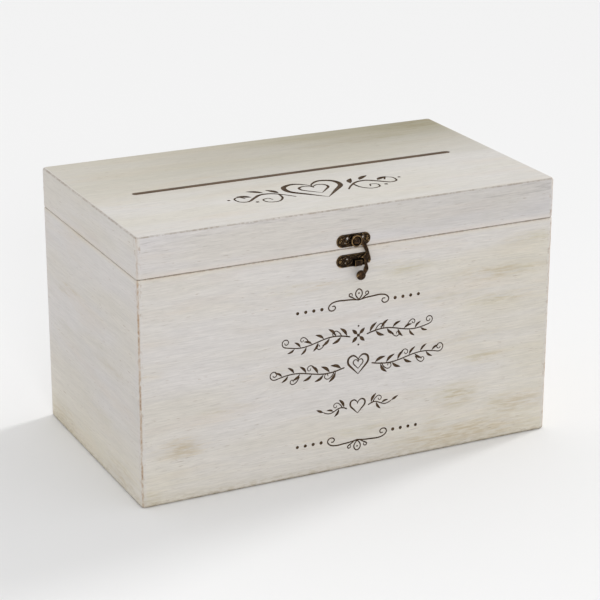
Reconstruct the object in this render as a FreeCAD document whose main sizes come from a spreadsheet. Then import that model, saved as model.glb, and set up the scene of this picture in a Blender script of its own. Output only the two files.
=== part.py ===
import FreeCAD, Part
import os
import math
import Sketcher
from FreeCAD import Vector, Placement, Rotation

# Hinged wooden card box with a slotted lid and a swing-hook latch.
# Origin: centre of the underside.  +X right, +Y to the back, +Z up.  Millimetres.

doc = FreeCAD.newDocument("card_box")

# ---------------------------------------------------------------- dimensions
dims = doc.addObject("Spreadsheet::Sheet", "dims")
DIMENSIONS = [
    # outside of the box
    ("box_width", 350.0), ("box_depth", 200.0), ("base_height", 179.65),
    ("lid_gap", 0.3), ("lid_height", 32.05),
    # boards
    ("wall_thick", 10.0), ("top_thick", 9.0), ("bottom_thick", 6.0),
    ("corner_rad", 3.0), ("foot_edge_rad", 2.2), ("seam_edge_rad", 0.9),
    ("top_edge_rad", 2.0),
    # card slot
    ("slot_length", 276.0), ("slot_width", 6.0), ("slot_back", 0.0),
    # latch plates
    ("latch_x", -1.0), ("plate_length", 28.4), ("plate_height", 10.0),
    ("plate_thick", 0.8), ("lid_plate_z", 186.1), ("catch_plate_z", 170.3),
    ("boss_rad", 3.2), ("boss_proud", 0.6),
    ("nail_pitch", 22.4), ("nail_rad", 0.6), ("nail_head_rad", 1.3),
    ("nail_head_proud", 0.5), ("nail_length", 8.0),
    ("pierce_pitch", 10.4), ("pierce_size", 1.9), ("pierce_up", 1.5),
    # catch lug
    ("lug_left", -1.2), ("lug_right", 5.2), ("lug_low", 165.5),
    ("lug_high", 170.9), ("lug_proud", 2.6), ("lug_corner", 1.1),
    # hook and its rivet
    ("pivot_x", 0.5), ("pivot_z", 185.8), ("hook_gap", 0.75),
    ("hook_thick", 1.6), ("eye_rad", 4.7), ("rivet_rad", 1.5),
    ("rivet_clear", 0.05), ("rivet_head_rad", 2.9), ("rivet_head_high", 1.5),
    ("rivet_depth", 6.0),
    ("ball_x", 2.6), ("ball_z", 159.6), ("ball_rad", 3.85),
    ("ball_half", 2.7), ("ball_gap", 0.25),
    # hinges
    ("hinge_x", 105.0), ("leaf_width", 30.0), ("leaf_height", 15.0),
    ("leaf_thick", 0.9), ("knuckle_rad", 2.0), ("knuckle_out", 2.3),
    ("knuckle_play", 0.1), ("pin_rad", 0.95), ("pin_clear", 0.05),
    ("pin_head_rad", 1.6), ("pin_head_high", 0.7),
    ("screw_pitch", 18.0), ("screw_drop", 9.0), ("screw_rad", 1.3),
    ("screw_head_rad", 2.5), ("screw_length", 8.0), ("screw_slot", 0.6),
]
for row, (alias, value) in enumerate(DIMENSIONS, start=1):
    dims.set("A%d" % row, alias)
    dims.set("B%d" % row, repr(value))
    dims.setAlias("B%d" % row, alias)
doc.recompute()


def dim(alias):
    return float(dims.get(alias))


def expr(text):
    """Prefixes every alias in an expression with the sheet's name."""
    out, word = "", ""
    names = {a for a, _ in DIMENSIONS}
    for ch in text + " ":
        if ch.isalnum() or ch == "_":
            word += ch
        else:
            out += ("dims." + word) if word in names else word
            word = ""
            out += ch
    return out.strip()


def bind(obj, prop, text):
    obj.setExpression(prop, expr(text))


def origin_plane(body, role):
    for f in body.Origin.OriginFeatures:
        if f.Role == role:
            return f
    raise RuntimeError("no origin plane " + role)


def new_body(name):
    body = doc.addObject("PartDesign::Body", name)
    body.Label = name
    return body


def new_sketch(body, name, role):
    sk = body.newObject("Sketcher::SketchObject", name)
    sk.AttachmentSupport = [(origin_plane(body, role), "")]
    sk.MapMode = "FlatFace"
    return sk


def name_dim(sk, kind, args, value, text):
    """Adds a driving constraint and binds it to the sheet."""
    idx = sk.addConstraint(Sketcher.Constraint(kind, *args, value))
    sk.setExpression("Constraints[%d]" % idx, expr(text))
    return idx


def pad(body, sk, name, length, reverse=False):
    p = body.newObject("PartDesign::Pad", name)
    p.Profile = sk
    p.Reversed = reverse
    bind(p, "Length", length)
    sk.Visibility = False
    return p


def pocket_checked(body, sk, name, length, reverse):
    """A pocket that must remove material."""
    doc.recompute()
    before = body.Shape.Volume
    c = body.newObject("PartDesign::Pocket", name)
    c.Profile = sk
    c.Reversed = reverse
    bind(c, "Length", length)
    doc.recompute()
    if not body.Shape.Volume < before - 1e-6:
        raise RuntimeError(name + " cuts nothing")
    return c


def fillet_edges(body, name, radius, chooser):
    doc.recompute()
    tip = body.Tip
    names = [
        "Edge%d" % (i + 1)
        for i, e in enumerate(tip.Shape.Edges)
        if chooser(e)
    ]
    if not names:
        raise RuntimeError(name + " finds no edge")
    f = body.newObject("PartDesign::Fillet", name)
    f.Base = (tip, names)
    bind(f, "Radius", radius)
    doc.recompute()
    return f


NODES = {}

# ------------------------------------------------------------- mitred boards
def mitred_board(name, length, depth, low, tall, yaw, low_rad, high_rad):
    """A board seen from above: outer face towards -Y, both ends mitred at 45
    degrees and the outer corners rounded, padded upwards and turned by yaw."""
    body = new_body(name)
    sk = new_sketch(body, name + "_plan", "XY_Plane")
    L = value_of(length)
    D = value_of(depth)
    T, R = dim("wall_thick"), dim("corner_rad")
    k = R * math.sqrt(0.5)
    yo = -D / 2.0
    pr = Vector(L / 2 - R + k, yo + R - k, 0)
    pl = Vector(-L / 2 + R - k, yo + R - k, 0)
    z = Vector(0, 0, 1)
    sk.addGeometry([
        Part.LineSegment(Vector(-L / 2 + R, yo, 0), Vector(L / 2 - R, yo, 0)),
        Part.ArcOfCircle(Part.Circle(Vector(L / 2 - R, yo + R, 0), z, R),
                         math.radians(270), math.radians(315)),
        Part.LineSegment(pr, Vector(L / 2 - T, yo + T, 0)),
        Part.LineSegment(Vector(L / 2 - T, yo + T, 0), Vector(-L / 2 + T, yo + T, 0)),
        Part.LineSegment(Vector(-L / 2 + T, yo + T, 0), pl),
        Part.ArcOfCircle(Part.Circle(Vector(-L / 2 + R, yo + R, 0), z, R),
                         math.radians(225), math.radians(270)),
    ], False)
    C = Sketcher.Constraint
    sk.addConstraint([
        C("Tangent", 0, 2, 1, 1),
        C("Coincident", 1, 2, 2, 1),
        C("Coincident", 2, 2, 3, 1),
        C("Coincident", 3, 2, 4, 1),
        C("Coincident", 4, 2, 5, 1),
        C("Tangent", 5, 2, 0, 1),
        C("Symmetric", 0, 1, 0, 2, -2),
        C("Symmetric", 3, 1, 3, 2, -2),
        C("PointOnObject", 1, 3, 2),
        C("PointOnObject", 5, 3, 4),
        C("Equal", 1, 5),
    ])
    name_dim(sk, "Radius", (1,), R, "corner_rad")
    name_dim(sk, "DistanceX", (0, 1, 0, 2), L - 2 * R, "%s - 2 * corner_rad" % length)
    name_dim(sk, "DistanceX", (3, 2, 3, 1), L - 2 * T, "%s - 2 * wall_thick" % length)
    name_dim(sk, "DistanceY", (0, 1, -1, 1), D / 2, "%s / 2" % depth)
    name_dim(sk, "DistanceY", (0, 1, 3, 2), T, "wall_thick")
    pad(body, sk, name + "_pad", tall)
    doc.recompute()
    H = value_of(tall)

    def on_outer_rim(level):
        def test(e):
            if not all(abs(v.Z - level) < 1e-6 for v in e.Vertexes):
                return False
            mid = e.valueAt((e.FirstParameter + e.LastParameter) / 2)
            return mid.y < yo + R - k + 1e-6 and all(
                v.Y < yo + R - k + 1e-6 for v in e.Vertexes)
        return test

    if low_rad:
        fillet_edges(body, name + "_low_round", low_rad, on_outer_rim(0.0))
    if high_rad:
        fillet_edges(body, name + "_high_round", high_rad, on_outer_rim(H))
    body.Placement = Placement(Vector(0, 0, 0), Rotation(Vector(0, 0, 1), yaw))
    bind(body, "Placement.Base.z", low)
    NODES[name] = body
    return body


def value_of(text):
    """The number that a simple expression of aliases comes to."""
    names = {a: v for a, v in DIMENSIONS}
    total, sign = 0.0, 1.0
    for word in text.split():
        if word == "+":
            sign = 1.0
        elif word == "-":
            sign = -1.0
        else:
            total += sign * (names[word] if word in names else float(word))
            sign = 1.0
    return total


BASE_TALL = "base_height"
RAIL_LOW = "base_height + lid_gap"
RAIL_TALL = "lid_height - top_thick"
TOP_LOW = "base_height + lid_gap + lid_height - top_thick"

for side, length, depth, yaw in (
    ("front", "box_width", "box_depth", 0),
    ("right", "box_depth", "box_width", 90),
    ("back", "box_width", "box_depth", 180),
    ("left", "box_depth", "box_width", 270),
):
    mitred_board(side + "_panel", length, depth, "0", BASE_TALL, yaw,
                 "foot_edge_rad", "seam_edge_rad")
    mitred_board("lid_" + side + "_rail", length, depth, RAIL_LOW, RAIL_TALL, yaw,
                 "seam_edge_rad", None)

# ------------------------------------------------------------- bottom board
def rounded_rectangle(sk, w, d, r, w_text, d_text, r_text):
    """Centred on the sketch's origin; r of 0 gives plain corners."""
    C = Sketcher.Constraint
    a, b = w / 2, d / 2
    if not r:
        sk.addGeometry([
            Part.LineSegment(Vector(-a, -b, 0), Vector(a, -b, 0)),
            Part.LineSegment(Vector(a, -b, 0), Vector(a, b, 0)),
            Part.LineSegment(Vector(a, b, 0), Vector(-a, b, 0)),
            Part.LineSegment(Vector(-a, b, 0), Vector(-a, -b, 0)),
        ], False)
        sk.addConstraint([C("Coincident", i, 2, (i + 1) % 4, 1) for i in range(4)]
                         + [C("Horizontal", 0), C("Horizontal", 2),
                            C("Vertical", 1), C("Vertical", 3),
                            C("Symmetric", 0, 1, 2, 1, -1, 1)])
        name_dim(sk, "DistanceX", (0, 1, 0, 2), w, w_text)
        name_dim(sk, "DistanceY", (1, 1, 1, 2), d, d_text)
        return
    z = Vector(0, 0, 1)

    def arc(cx, cy, start):
        return Part.ArcOfCircle(Part.Circle(Vector(cx, cy, 0), z, r),
                                math.radians(start), math.radians(start + 90))

    sk.addGeometry([
        Part.LineSegment(Vector(-a + r, -b, 0), Vector(a - r, -b, 0)),
        arc(a - r, -b + r, 270),
        Part.LineSegment(Vector(a, -b + r, 0), Vector(a, b - r, 0)),
        arc(a - r, b - r, 0),
        Part.LineSegment(Vector(a - r, b, 0), Vector(-a + r, b, 0)),
        arc(-a + r, b - r, 90),
        Part.LineSegment(Vector(-a, b - r, 0), Vector(-a, -b + r, 0)),
        arc(-a + r, -b + r, 180),
    ], False)
    sk.addConstraint([C("Tangent", i, 2, (i + 1) % 8, 1) for i in range(8)]
                     + [C("Horizontal", 0), C("Horizontal", 4),
                        C("Vertical", 2), C("Vertical", 6),
                        C("Equal", 1, 3), C("Equal", 3, 5), C("Equal", 5, 7),
                        C("Symmetric", 0, 1, 4, 1, -1, 1)])
    name_dim(sk, "Radius", (1,), r, r_text)
    name_dim(sk, "DistanceX", (0, 1, 0, 2), w - 2 * r, "%s - 2 * %s" % (w_text, r_text))
    name_dim(sk, "DistanceY", (2, 1, 2, 2), d - 2 * r, "%s - 2 * %s" % (d_text, r_text))


bottom = new_body("bottom_panel")
sk = new_sketch(bottom, "bottom_plan", "XY_Plane")
rounded_rectangle(sk, dim("box_width") - 2 * dim("wall_thick"),
                  dim("box_depth") - 2 * dim("wall_thick"), 0,
                  "box_width - 2 * wall_thick", "box_depth - 2 * wall_thick", None)
pad(bottom, sk, "bottom_pad", "bottom_thick")
NODES["bottom_panel"] = bottom

# ------------------------------------------------------------- lid top board
top = new_body("lid_top_panel")
sk = new_sketch(top, "top_plan", "XY_Plane")
rounded_rectangle(sk, dim("box_width"), dim("box_depth"), dim("corner_rad"),
                  "box_width", "box_depth", "corner_rad")
pad(top, sk, "top_pad", "top_thick")
fillet_edges(top, "top_round", "top_edge_rad",
             lambda e: all(abs(v.Z - dim("top_thick")) < 1e-6 for v in e.Vertexes))
sk = new_sketch(top, "slot_plan", "XY_Plane")
sl, sw = dim("slot_length"), dim("slot_width")
sk.addGeometry([
    Part.LineSegment(Vector(-sl / 2 + sw / 2, -sw / 2, 0), Vector(sl / 2 - sw / 2, -sw / 2, 0)),
    Part.ArcOfCircle(Part.Circle(Vector(sl / 2 - sw / 2, 0, 0), Vector(0, 0, 1), sw / 2),
                     math.radians(270), math.radians(450)),
    Part.LineSegment(Vector(sl / 2 - sw / 2, sw / 2, 0), Vector(-sl / 2 + sw / 2, sw / 2, 0)),
    Part.ArcOfCircle(Part.Circle(Vector(-sl / 2 + sw / 2, 0, 0), Vector(0, 0, 1), sw / 2),
                     math.radians(90), math.radians(270)),
], False)
C = Sketcher.Constraint
sk.addConstraint([C("Tangent", i, 2, (i + 1) % 4, 1) for i in range(4)]
                 + [C("Symmetric", 0, 1, 0, 2, -2)])
name_dim(sk, "Radius", (1,), sw / 2, "slot_width / 2")
name_dim(sk, "DistanceX", (0, 1, 0, 2), sl - sw, "slot_length - slot_width")
sk.addConstraint(C("PointOnObject", 1, 3, -1))
bind(sk, "AttachmentOffset.Base.y", "slot_back")
pocket_checked(top, sk, "card_slot", "top_thick", True)
bind(top, "Placement.Base.z", TOP_LOW)
NODES["lid_top_panel"] = top

# -------------------------------------------------------------- latch plates
# The sketches lie in the XZ plane and the metal grows towards -Y from the
# front face of the box.
def stadium(sk, length, tall, l_text, t_text):
    r = tall / 2
    C = Sketcher.Constraint
    sk.addGeometry([
        Part.LineSegment(Vector(-length / 2 + r, -r, 0), Vector(length / 2 - r, -r, 0)),
        Part.ArcOfCircle(Part.Circle(Vector(length / 2 - r, 0, 0), Vector(0, 0, 1), r),
                         math.radians(270), math.radians(450)),
        Part.LineSegment(Vector(length / 2 - r, r, 0), Vector(-length / 2 + r, r, 0)),
        Part.ArcOfCircle(Part.Circle(Vector(-length / 2 + r, 0, 0), Vector(0, 0, 1), r),
                         math.radians(90), math.radians(270)),
    ], False)
    sk.addConstraint([C("Tangent", i, 2, (i + 1) % 4, 1) for i in range(4)]
                     + [C("Symmetric", 0, 1, 0, 2, -2),
                        C("PointOnObject", 1, 3, -1)])
    name_dim(sk, "Radius", (1,), r, "%s / 2" % t_text)
    name_dim(sk, "DistanceX", (0, 1, 0, 2), length - 2 * r, "%s - %s" % (l_text, t_text))


def circle(sk, x, y, r, x_text, y_text, r_text):
    """A circle placed by signed distances from the sketch's origin."""
    g = sk.addGeometry(Part.Circle(Vector(x, y, 0), Vector(0, 0, 1), r), False)
    name_dim(sk, "Radius", (g,), r, r_text)
    for kind, value, text, axis in (("DistanceX", x, x_text, -2), ("DistanceY", y, y_text, -1)):
        if abs(value) < 1e-9:
            sk.addConstraint(Sketcher.Constraint("PointOnObject", g, 3, axis))
        else:
            name_dim(sk, kind, (-1, 1, g, 3), value, text)
    return g


def diamond(sk, x, y, size, x_text, y_text, s_text):
    """A small square hole standing on its corner."""
    h = size / math.sqrt(2.0)
    C = Sketcher.Constraint
    pts = [Vector(x + h, y, 0), Vector(x, y + h, 0), Vector(x - h, y, 0), Vector(x, y - h, 0)]
    first = sk.GeometryCount
    sk.addGeometry([Part.LineSegment(pts[i], pts[(i + 1) % 4]) for i in range(4)], False)
    g = [first + i for i in range(4)]
    sk.addConstraint([C("Coincident", g[i], 2, g[(i + 1) % 4], 1) for i in range(4)]
                     + [C("Equal", g[0], g[1]), C("Equal", g[1], g[2]),
                        C("Perpendicular", g[0], g[1]),
                        C("Horizontal", g[0], 1, g[2], 1)])
    name_dim(sk, "Distance", (g[0],), size, s_text)
    name_dim(sk, "DistanceX", (-1, 1, g[1], 1), x, x_text)
    name_dim(sk, "DistanceY", (-1, 1, g[0], 1), y, y_text)


def latch_plate(name, z_alias, with_pivot):
    body = new_body(name)
    sk = new_sketch(body, name + "_outline", "XZ_Plane")
    stadium(sk, dim("plate_length"), dim("plate_height"), "plate_length", "plate_height")
    pad(body, sk, name + "_pad", "plate_thick")
    if with_pivot:
        px, pz = dim("pivot_x") - dim("latch_x"), dim("pivot_z") - dim(z_alias)
        sk = new_sketch(body, name + "_boss_outline", "XZ_Plane")
        circle(sk, px, pz, dim("boss_rad"), "pivot_x - latch_x", "pivot_z - " + z_alias, "boss_rad")
        pad(body, sk, name + "_boss", "plate_thick + boss_proud")
    else:
        lx = (dim("lug_left") + dim("lug_right")) / 2 - dim("latch_x")
        lz = (dim("lug_low") + dim("lug_high")) / 2 - dim(z_alias)
        sk = new_sketch(body, name + "_lug_outline", "XZ_Plane")
        rounded_rectangle(sk, dim("lug_right") - dim("lug_left"), dim("lug_high") - dim("lug_low"),
                          dim("lug_corner"), "(lug_right - lug_left)", "(lug_high - lug_low)",
                          "lug_corner")
        bind(sk, "AttachmentOffset.Base.x", "(lug_left + lug_right) / 2 - latch_x")
        bind(sk, "AttachmentOffset.Base.y", "(lug_low + lug_high) / 2 - " + z_alias)
        pad(body, sk, name + "_lug", "plate_thick + lug_proud")
    sk = new_sketch(body, name + "_holes", "XZ_Plane")
    half = dim("nail_pitch") / 2
    circle(sk, half, 0, dim("nail_rad"), "nail_pitch / 2", "0", "nail_rad")
    circle(sk, -half, 0, dim("nail_rad"), "-nail_pitch / 2", "0", "nail_rad")
    if with_pivot:
        circle(sk, px, pz, dim("rivet_rad"), "pivot_x - latch_x", "pivot_z - " + z_alias, "rivet_rad")
    hx, hz = dim("pierce_pitch") / 2, dim("pierce_up")
    diamond(sk, -hx, hz, dim("pierce_size"), "-pierce_pitch / 2", "pierce_up", "pierce_size")
    if with_pivot:
        diamond(sk, hx + 2.6, hz, dim("pierce_size"), "pierce_pitch / 2 + 2.6", "pierce_up", "pierce_size")
    pocket_checked(body, sk, name + "_cut", "plate_thick + boss_proud + lug_proud", True)
    bind(body, "Placement.Base.x", "latch_x")
    bind(body, "Placement.Base.y", "-box_depth / 2")
    bind(body, "Placement.Base.z", z_alias)
    NODES[name] = body
    return body


latch_plate("latch_lid_plate", "lid_plate_z", True)
latch_plate("latch_catch_plate", "catch_plate_z", False)

# ------------------------------------------- turned pieces: nails and rivet
def turned(name, points, body=None, right=None, up=None):
    """A piece turned about an axis along Y: points are (radius, y) pairs of
    its half outline, each an expression of the sheet.  The axis passes through
    the body's origin, or right and up of it when those are given."""
    body = body or new_body(name)
    sk = new_sketch(body, name + "_outline", "XY_Plane")
    vals = [(full_value_of(r), full_value_of(y)) for r, y in points]
    n = len(vals)
    for i in range(n):
        a, b = vals[i], vals[(i + 1) % n]
        sk.addGeometry(Part.LineSegment(Vector(a[0], a[1], 0), Vector(b[0], b[1], 0)), False)
    for i in range(n):
        sk.addConstraint(Sketcher.Constraint("Coincident", i, 2, (i + 1) % n, 1))
    for i, (r, y) in enumerate(points):
        for kind, value, text, axis in (("DistanceX", vals[i][0], r, -2), ("DistanceY", vals[i][1], y, -1)):
            if abs(value) < 1e-9:
                sk.addConstraint(Sketcher.Constraint("PointOnObject", i, 1, axis))
            else:
                name_dim(sk, kind, (-1, 1, i, 1), value, text)
    if right is not None:
        bind(sk, "AttachmentOffset.Base.x", right)
        bind(sk, "AttachmentOffset.Base.z", up)
    rev = body.newObject("PartDesign::Revolution", name + "_turn")
    rev.Profile = sk
    rev.ReferenceAxis = (sk, ["V_Axis"])
    rev.Angle = 360.0
    doc.recompute()
    return body


def full_value_of(text):
    """The number that an expression of aliases comes to."""
    probe = doc.getObject("probe") or doc.addObject("App::FeaturePython", "probe")
    if "Value" not in probe.PropertiesList:
        probe.addProperty("App::PropertyFloat", "Value")
    probe.setExpression("Value", expr(text))
    doc.recompute([probe])
    value = float(probe.Value)
    probe.setExpression("Value", None)
    return value


def group(name, solids):
    """Separate identical pieces kept together as one node."""
    comp = doc.addObject("Part::Compound", name)
    comp.Label = name
    comp.Links = solids
    NODES[name] = comp
    return comp


NAIL = [
    ("0", "-nail_head_proud"),
    ("nail_head_rad * 0.55", "-nail_head_proud * 0.88"),
    ("nail_head_rad * 0.88", "-nail_head_proud * 0.5"),
    ("nail_head_rad", "0"),
    ("nail_rad", "0"),
    ("nail_rad", "plate_thick + nail_length - 1.2"),
    ("0", "plate_thick + nail_length"),
]


def nail_pair(name, z_alias):
    out = []
    for tag, sign in (("a", "-"), ("b", "")):
        b = turned("%s_%s" % (name, tag), NAIL)
        bind(b, "Placement.Base.x", "latch_x + %snail_pitch / 2" % sign)
        bind(b, "Placement.Base.y", "-box_depth / 2 - plate_thick")
        bind(b, "Placement.Base.z", z_alias)
        out.append(b)
    group(name, out)


nail_pair("latch_lid_nails", "lid_plate_z")
nail_pair("latch_catch_nails", "catch_plate_z")

rivet = turned("latch_pivot_rivet", [
    ("0", "-hook_gap - hook_thick - 0.15 - rivet_head_high"),
    ("rivet_head_rad * 0.45", "-hook_gap - hook_thick - 0.15 - rivet_head_high * 0.93"),
    ("rivet_head_rad * 0.8", "-hook_gap - hook_thick - 0.15 - rivet_head_high * 0.62"),
    ("rivet_head_rad", "-hook_gap - hook_thick - 0.15 - rivet_head_high * 0.15"),
    ("rivet_head_rad", "-hook_gap - hook_thick - 0.15"),
    ("rivet_rad", "-hook_gap - hook_thick - 0.15"),
    ("rivet_rad", "plate_thick + rivet_depth"),
    ("0", "plate_thick + rivet_depth"),
])
bind(rivet, "Placement.Base.x", "pivot_x")
bind(rivet, "Placement.Base.y", "-box_depth / 2 - plate_thick")
bind(rivet, "Placement.Base.z", "pivot_z")
NODES["latch_pivot_rivet"] = rivet

# ------------------------------------------------------------------ the hook
# The outline is given in the hook's own frame, measured from the pivot:
# x to the right, z up, as seen from the front of the box.
hook = new_body("latch_hook")


def at_angle(deg):
    return (dim("eye_rad") * math.cos(math.radians(deg)), dim("eye_rad") * math.sin(math.radians(deg)))


OUTER = [at_angle(40), (5.8, 0.94), (8.2, -3.22), (9.9, -7.18), (10.8, -10.50), (11.8, -13.62),
         (12.2, -16.22), (11.4, -18.10), (10.1, -18.82)]
SPUR = [(10.1, -18.82), (10.6, -17.37), (10.5, -15.91), (9.6, -14.98), (8.9, -16.02), (9.0, -17.78),
        (9.1, -19.45), (8.5, -21.94), (7.6, -24.23), (6.6, -26.42)]
FOOT = [(6.6, -26.42), (5.0, -26.94)]
SHELF = [(5.0, -26.94), (5.0, -21.42)]
THROAT = [(5.0, -21.42), (5.6, -20.75), (6.5, -19.86), (6.7, -17.68), (6.5, -15.39), (5.6, -14.30), (4.1, -13.83)]
JAW = [(4.1, -13.83), (4.9, -12.90), (6.4, -12.06), (7.5, -10.61), (7.5, -9.05), (6.6, -7.38), (5.4, -5.30), at_angle(-38)]
CHORD = [at_angle(-38), at_angle(40)]


def add_run(sk, pts):
    v = [Vector(x, z, 0) for x, z in pts]
    if len(v) == 2:
        return sk.addGeometry(Part.LineSegment(v[0], v[1]), False)
    c = Part.BSplineCurve()
    c.interpolate(v)
    return sk.addGeometry(c, False)


sk = new_sketch(hook, "hook_arm_outline", "XZ_Plane")
for run in (OUTER, SPUR, FOOT, SHELF, THROAT, JAW, CHORD):
    add_run(sk, run)
pad(hook, sk, "hook_arm", "hook_thick")
sk = new_sketch(hook, "hook_eye_outline", "XZ_Plane")
circle(sk, 0, 0, dim("eye_rad"), "0", "0", "eye_rad")
pad(hook, sk, "hook_eye", "hook_thick")
# the foot of the neck steps forward to carry the ball
sk = new_sketch(hook, "hook_step_outline", "XZ_Plane")
step = [(5.0, -27.66), (6.4, -26.94), (7.6, -24.34), (8.2, -22.78), (5.0, -22.78)]
for i in range(5):
    add_run(sk, [step[i], step[(i + 1) % 5]])
pad(hook, sk, "hook_step", "hook_thick + ball_gap + 0.25 + ball_half * 0.9")
# the ball is a little flatter from front to back than it is wide
BALL_MID = "-(hook_thick + ball_gap + 0.25 + ball_half)"
ball_outline = [("0", BALL_MID + " - ball_half")]
for k in range(1, 8):
    a = math.pi * k / 8
    ball_outline.append(("ball_rad * %.5f" % math.sin(a), BALL_MID + " - ball_half * %.5f" % math.cos(a)))
ball_outline.append(("0", BALL_MID + " + ball_half"))
doc.recompute()
before = hook.Shape.Volume
turned("hook_ball", ball_outline, hook, "ball_x - pivot_x", "ball_z - pivot_z")
if not hook.Shape.Volume > before + 50:
    raise RuntimeError("the ball adds nothing")
sk = new_sketch(hook, "hook_bore_outline", "XZ_Plane")
circle(sk, 0, 0, dim("rivet_rad") + dim("rivet_clear"), "0", "0", "rivet_rad + rivet_clear")
pocket_checked(hook, sk, "hook_bore", "hook_thick + 1", True)
bind(hook, "Placement.Base.x", "pivot_x")
bind(hook, "Placement.Base.y", "-box_depth / 2 - plate_thick - hook_gap")
bind(hook, "Placement.Base.z", "pivot_z")
NODES["latch_hook"] = hook

# -------------------------------------------------------------------- hinges
# Butt hinges on the back face.  Five knuckles turn on a pin behind the seam:
# three belong to the lower leaf and two to the upper one.
AXIS_Y = "box_depth / 2 + knuckle_out"
AXIS_Z = "base_height + lid_gap / 2"
KNUCKLES = 5


def primitive(kind, name, **exprs):
    o = doc.addObject(kind, name)
    for prop, text in exprs.items():
        bind(o, prop.replace("_", "."), text)
    return o


def box_at(name, x0, y0, z0, lx, ly, lz):
    o = doc.addObject("Part::Box", name)
    for prop, text in (("Length", lx), ("Width", ly), ("Height", lz),
                       ("Placement.Base.x", x0), ("Placement.Base.y", y0), ("Placement.Base.z", z0)):
        bind(o, prop, text)
    return o


def rod_x(name, x0, y0, z0, radius, length):
    """A cylinder along +X."""
    o = doc.addObject("Part::Cylinder", name)
    o.Placement = Placement(Vector(0, 0, 0), Rotation(Vector(0, 1, 0), 90))
    for prop, text in (("Radius", radius), ("Height", length),
                       ("Placement.Base.x", x0), ("Placement.Base.y", y0), ("Placement.Base.z", z0)):
        bind(o, prop, text)
    return o


def rod_y(name, x0, y0, z0, radius, length, kind="Part::Cylinder", radius2=None):
    """A cylinder or cone along +Y."""
    o = doc.addObject(kind, name)
    o.Placement = Placement(Vector(0, 0, 0), Rotation(Vector(1, 0, 0), -90))
    pairs = [("Height", length), ("Placement.Base.x", x0), ("Placement.Base.y", y0), ("Placement.Base.z", z0)]
    pairs += [("Radius", radius)] if radius2 is None else [("Radius1", radius), ("Radius2", radius2)]
    for prop, text in pairs:
        bind(o, prop, text)
    return o


def fuse(name, shapes):
    o = doc.addObject("Part::MultiFuse", name)
    o.Shapes = shapes
    o.Refine = True
    return o


def cut(name, base, tool):
    o = doc.addObject("Part::Cut", name)
    o.Base = base
    o.Tool = tool
    o.Refine = True
    return o


def leaf(name, x_text, upper):
    up = 1 if upper else -1
    pitch = "leaf_width / %d" % KNUCKLES
    left = "%s - leaf_width / 2" % x_text
    pieces = []
    # the flat of the leaf, which stops short of the other leaf's knuckles
    reach = "(knuckle_rad + 0.35)"
    z0 = "%s + %s" % (AXIS_Z, reach) if upper else "%s - leaf_height" % AXIS_Z
    pieces.append(box_at(name + "_flat", left, "box_depth / 2", z0,
                         "leaf_width", "leaf_thick", "leaf_height - " + reach))
    bores = []
    for k in range(KNUCKLES):
        if (k % 2 == 1) != upper:
            continue
        a = "knuckle_play / 2" if k > 0 else "0"
        b = "knuckle_play / 2" if k < KNUCKLES - 1 else "0"
        x0 = "%s + %d * %s + %s" % (left, k, pitch, a)
        wide = "%s - %s - %s" % (pitch, a, b)
        tag = "%s_k%d" % (name, k + 1)
        pieces.append(rod_x(tag, x0, AXIS_Y, AXIS_Z, "knuckle_rad", wide))
        # the strap that runs from the flat to the knuckle
        z1 = AXIS_Z if upper else "%s - %s - 0.5" % (AXIS_Z, reach)
        pieces.append(box_at(tag + "_strap", x0, "box_depth / 2", z1, wide,
                             "leaf_thick", reach + " + 0.5"))
    solid = fuse(name + "_solid", pieces)
    clear = " + pin_clear" if upper else ""
    tools = [rod_x(name + "_bore", left + " - 1", AXIS_Y, AXIS_Z, "pin_rad" + clear, "leaf_width + 2")]
    zs = "%s %s screw_drop" % (AXIS_Z, "+" if upper else "-")
    for tag, sign in (("a", "-"), ("b", "+")):
        xs = "%s %s screw_pitch / 2" % (x_text, sign)
        tools.append(rod_y("%s_hole_%s" % (name, tag), xs, "box_depth / 2 - 1", zs, "screw_rad", "leaf_thick + 2"))
        tools.append(rod_y("%s_sink_%s" % (name, tag), xs, "box_depth / 2 + 0.1", zs,
                           "screw_rad", "leaf_thick - 0.1", "Part::Cone", "screw_head_rad"))
    tool = fuse(name + "_tools", tools)
    body = cut(name, solid, tool)
    body.Label = name
    NODES[name] = body


def screws(name, upper):
    out = []
    zs = "%s %s screw_drop" % (AXIS_Z, "+" if upper else "-")
    for side, hx in (("left", "-hinge_x"), ("right", "hinge_x")):
        for tag, sign in (("a", "-"), ("b", "+")):
            base = "%s_%s_%s" % (name, side, tag)
            xs = "%s %s screw_pitch / 2" % (hx, sign)
            shank = rod_y(base + "_shank", xs, "box_depth / 2 - screw_length + 2", zs, "screw_rad", "screw_length - 1.9")
            tip = rod_y(base + "_tip", xs, "box_depth / 2 - screw_length", zs, "0.2", "2", "Part::Cone", "screw_rad")
            head = rod_y(base + "_head", xs, "box_depth / 2 + 0.1", zs, "screw_rad", "leaf_thick - 0.1", "Part::Cone", "screw_head_rad")
            rim = rod_y(base + "_rim", xs, "box_depth / 2 + leaf_thick", zs, "screw_head_rad", "0.35", "Part::Cone", "screw_head_rad * 0.8")
            solid = fuse(base + "_solid", [shank, tip, head, rim])
            groove = box_at(base + "_groove", "%s - screw_slot / 2" % xs, "box_depth / 2 + leaf_thick - 0.25",
                            "%s - screw_head_rad - 1" % zs, "screw_slot", "2", "2 * screw_head_rad + 2")
            out.append(cut(base, solid, groove))
    group(name, out)


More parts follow.
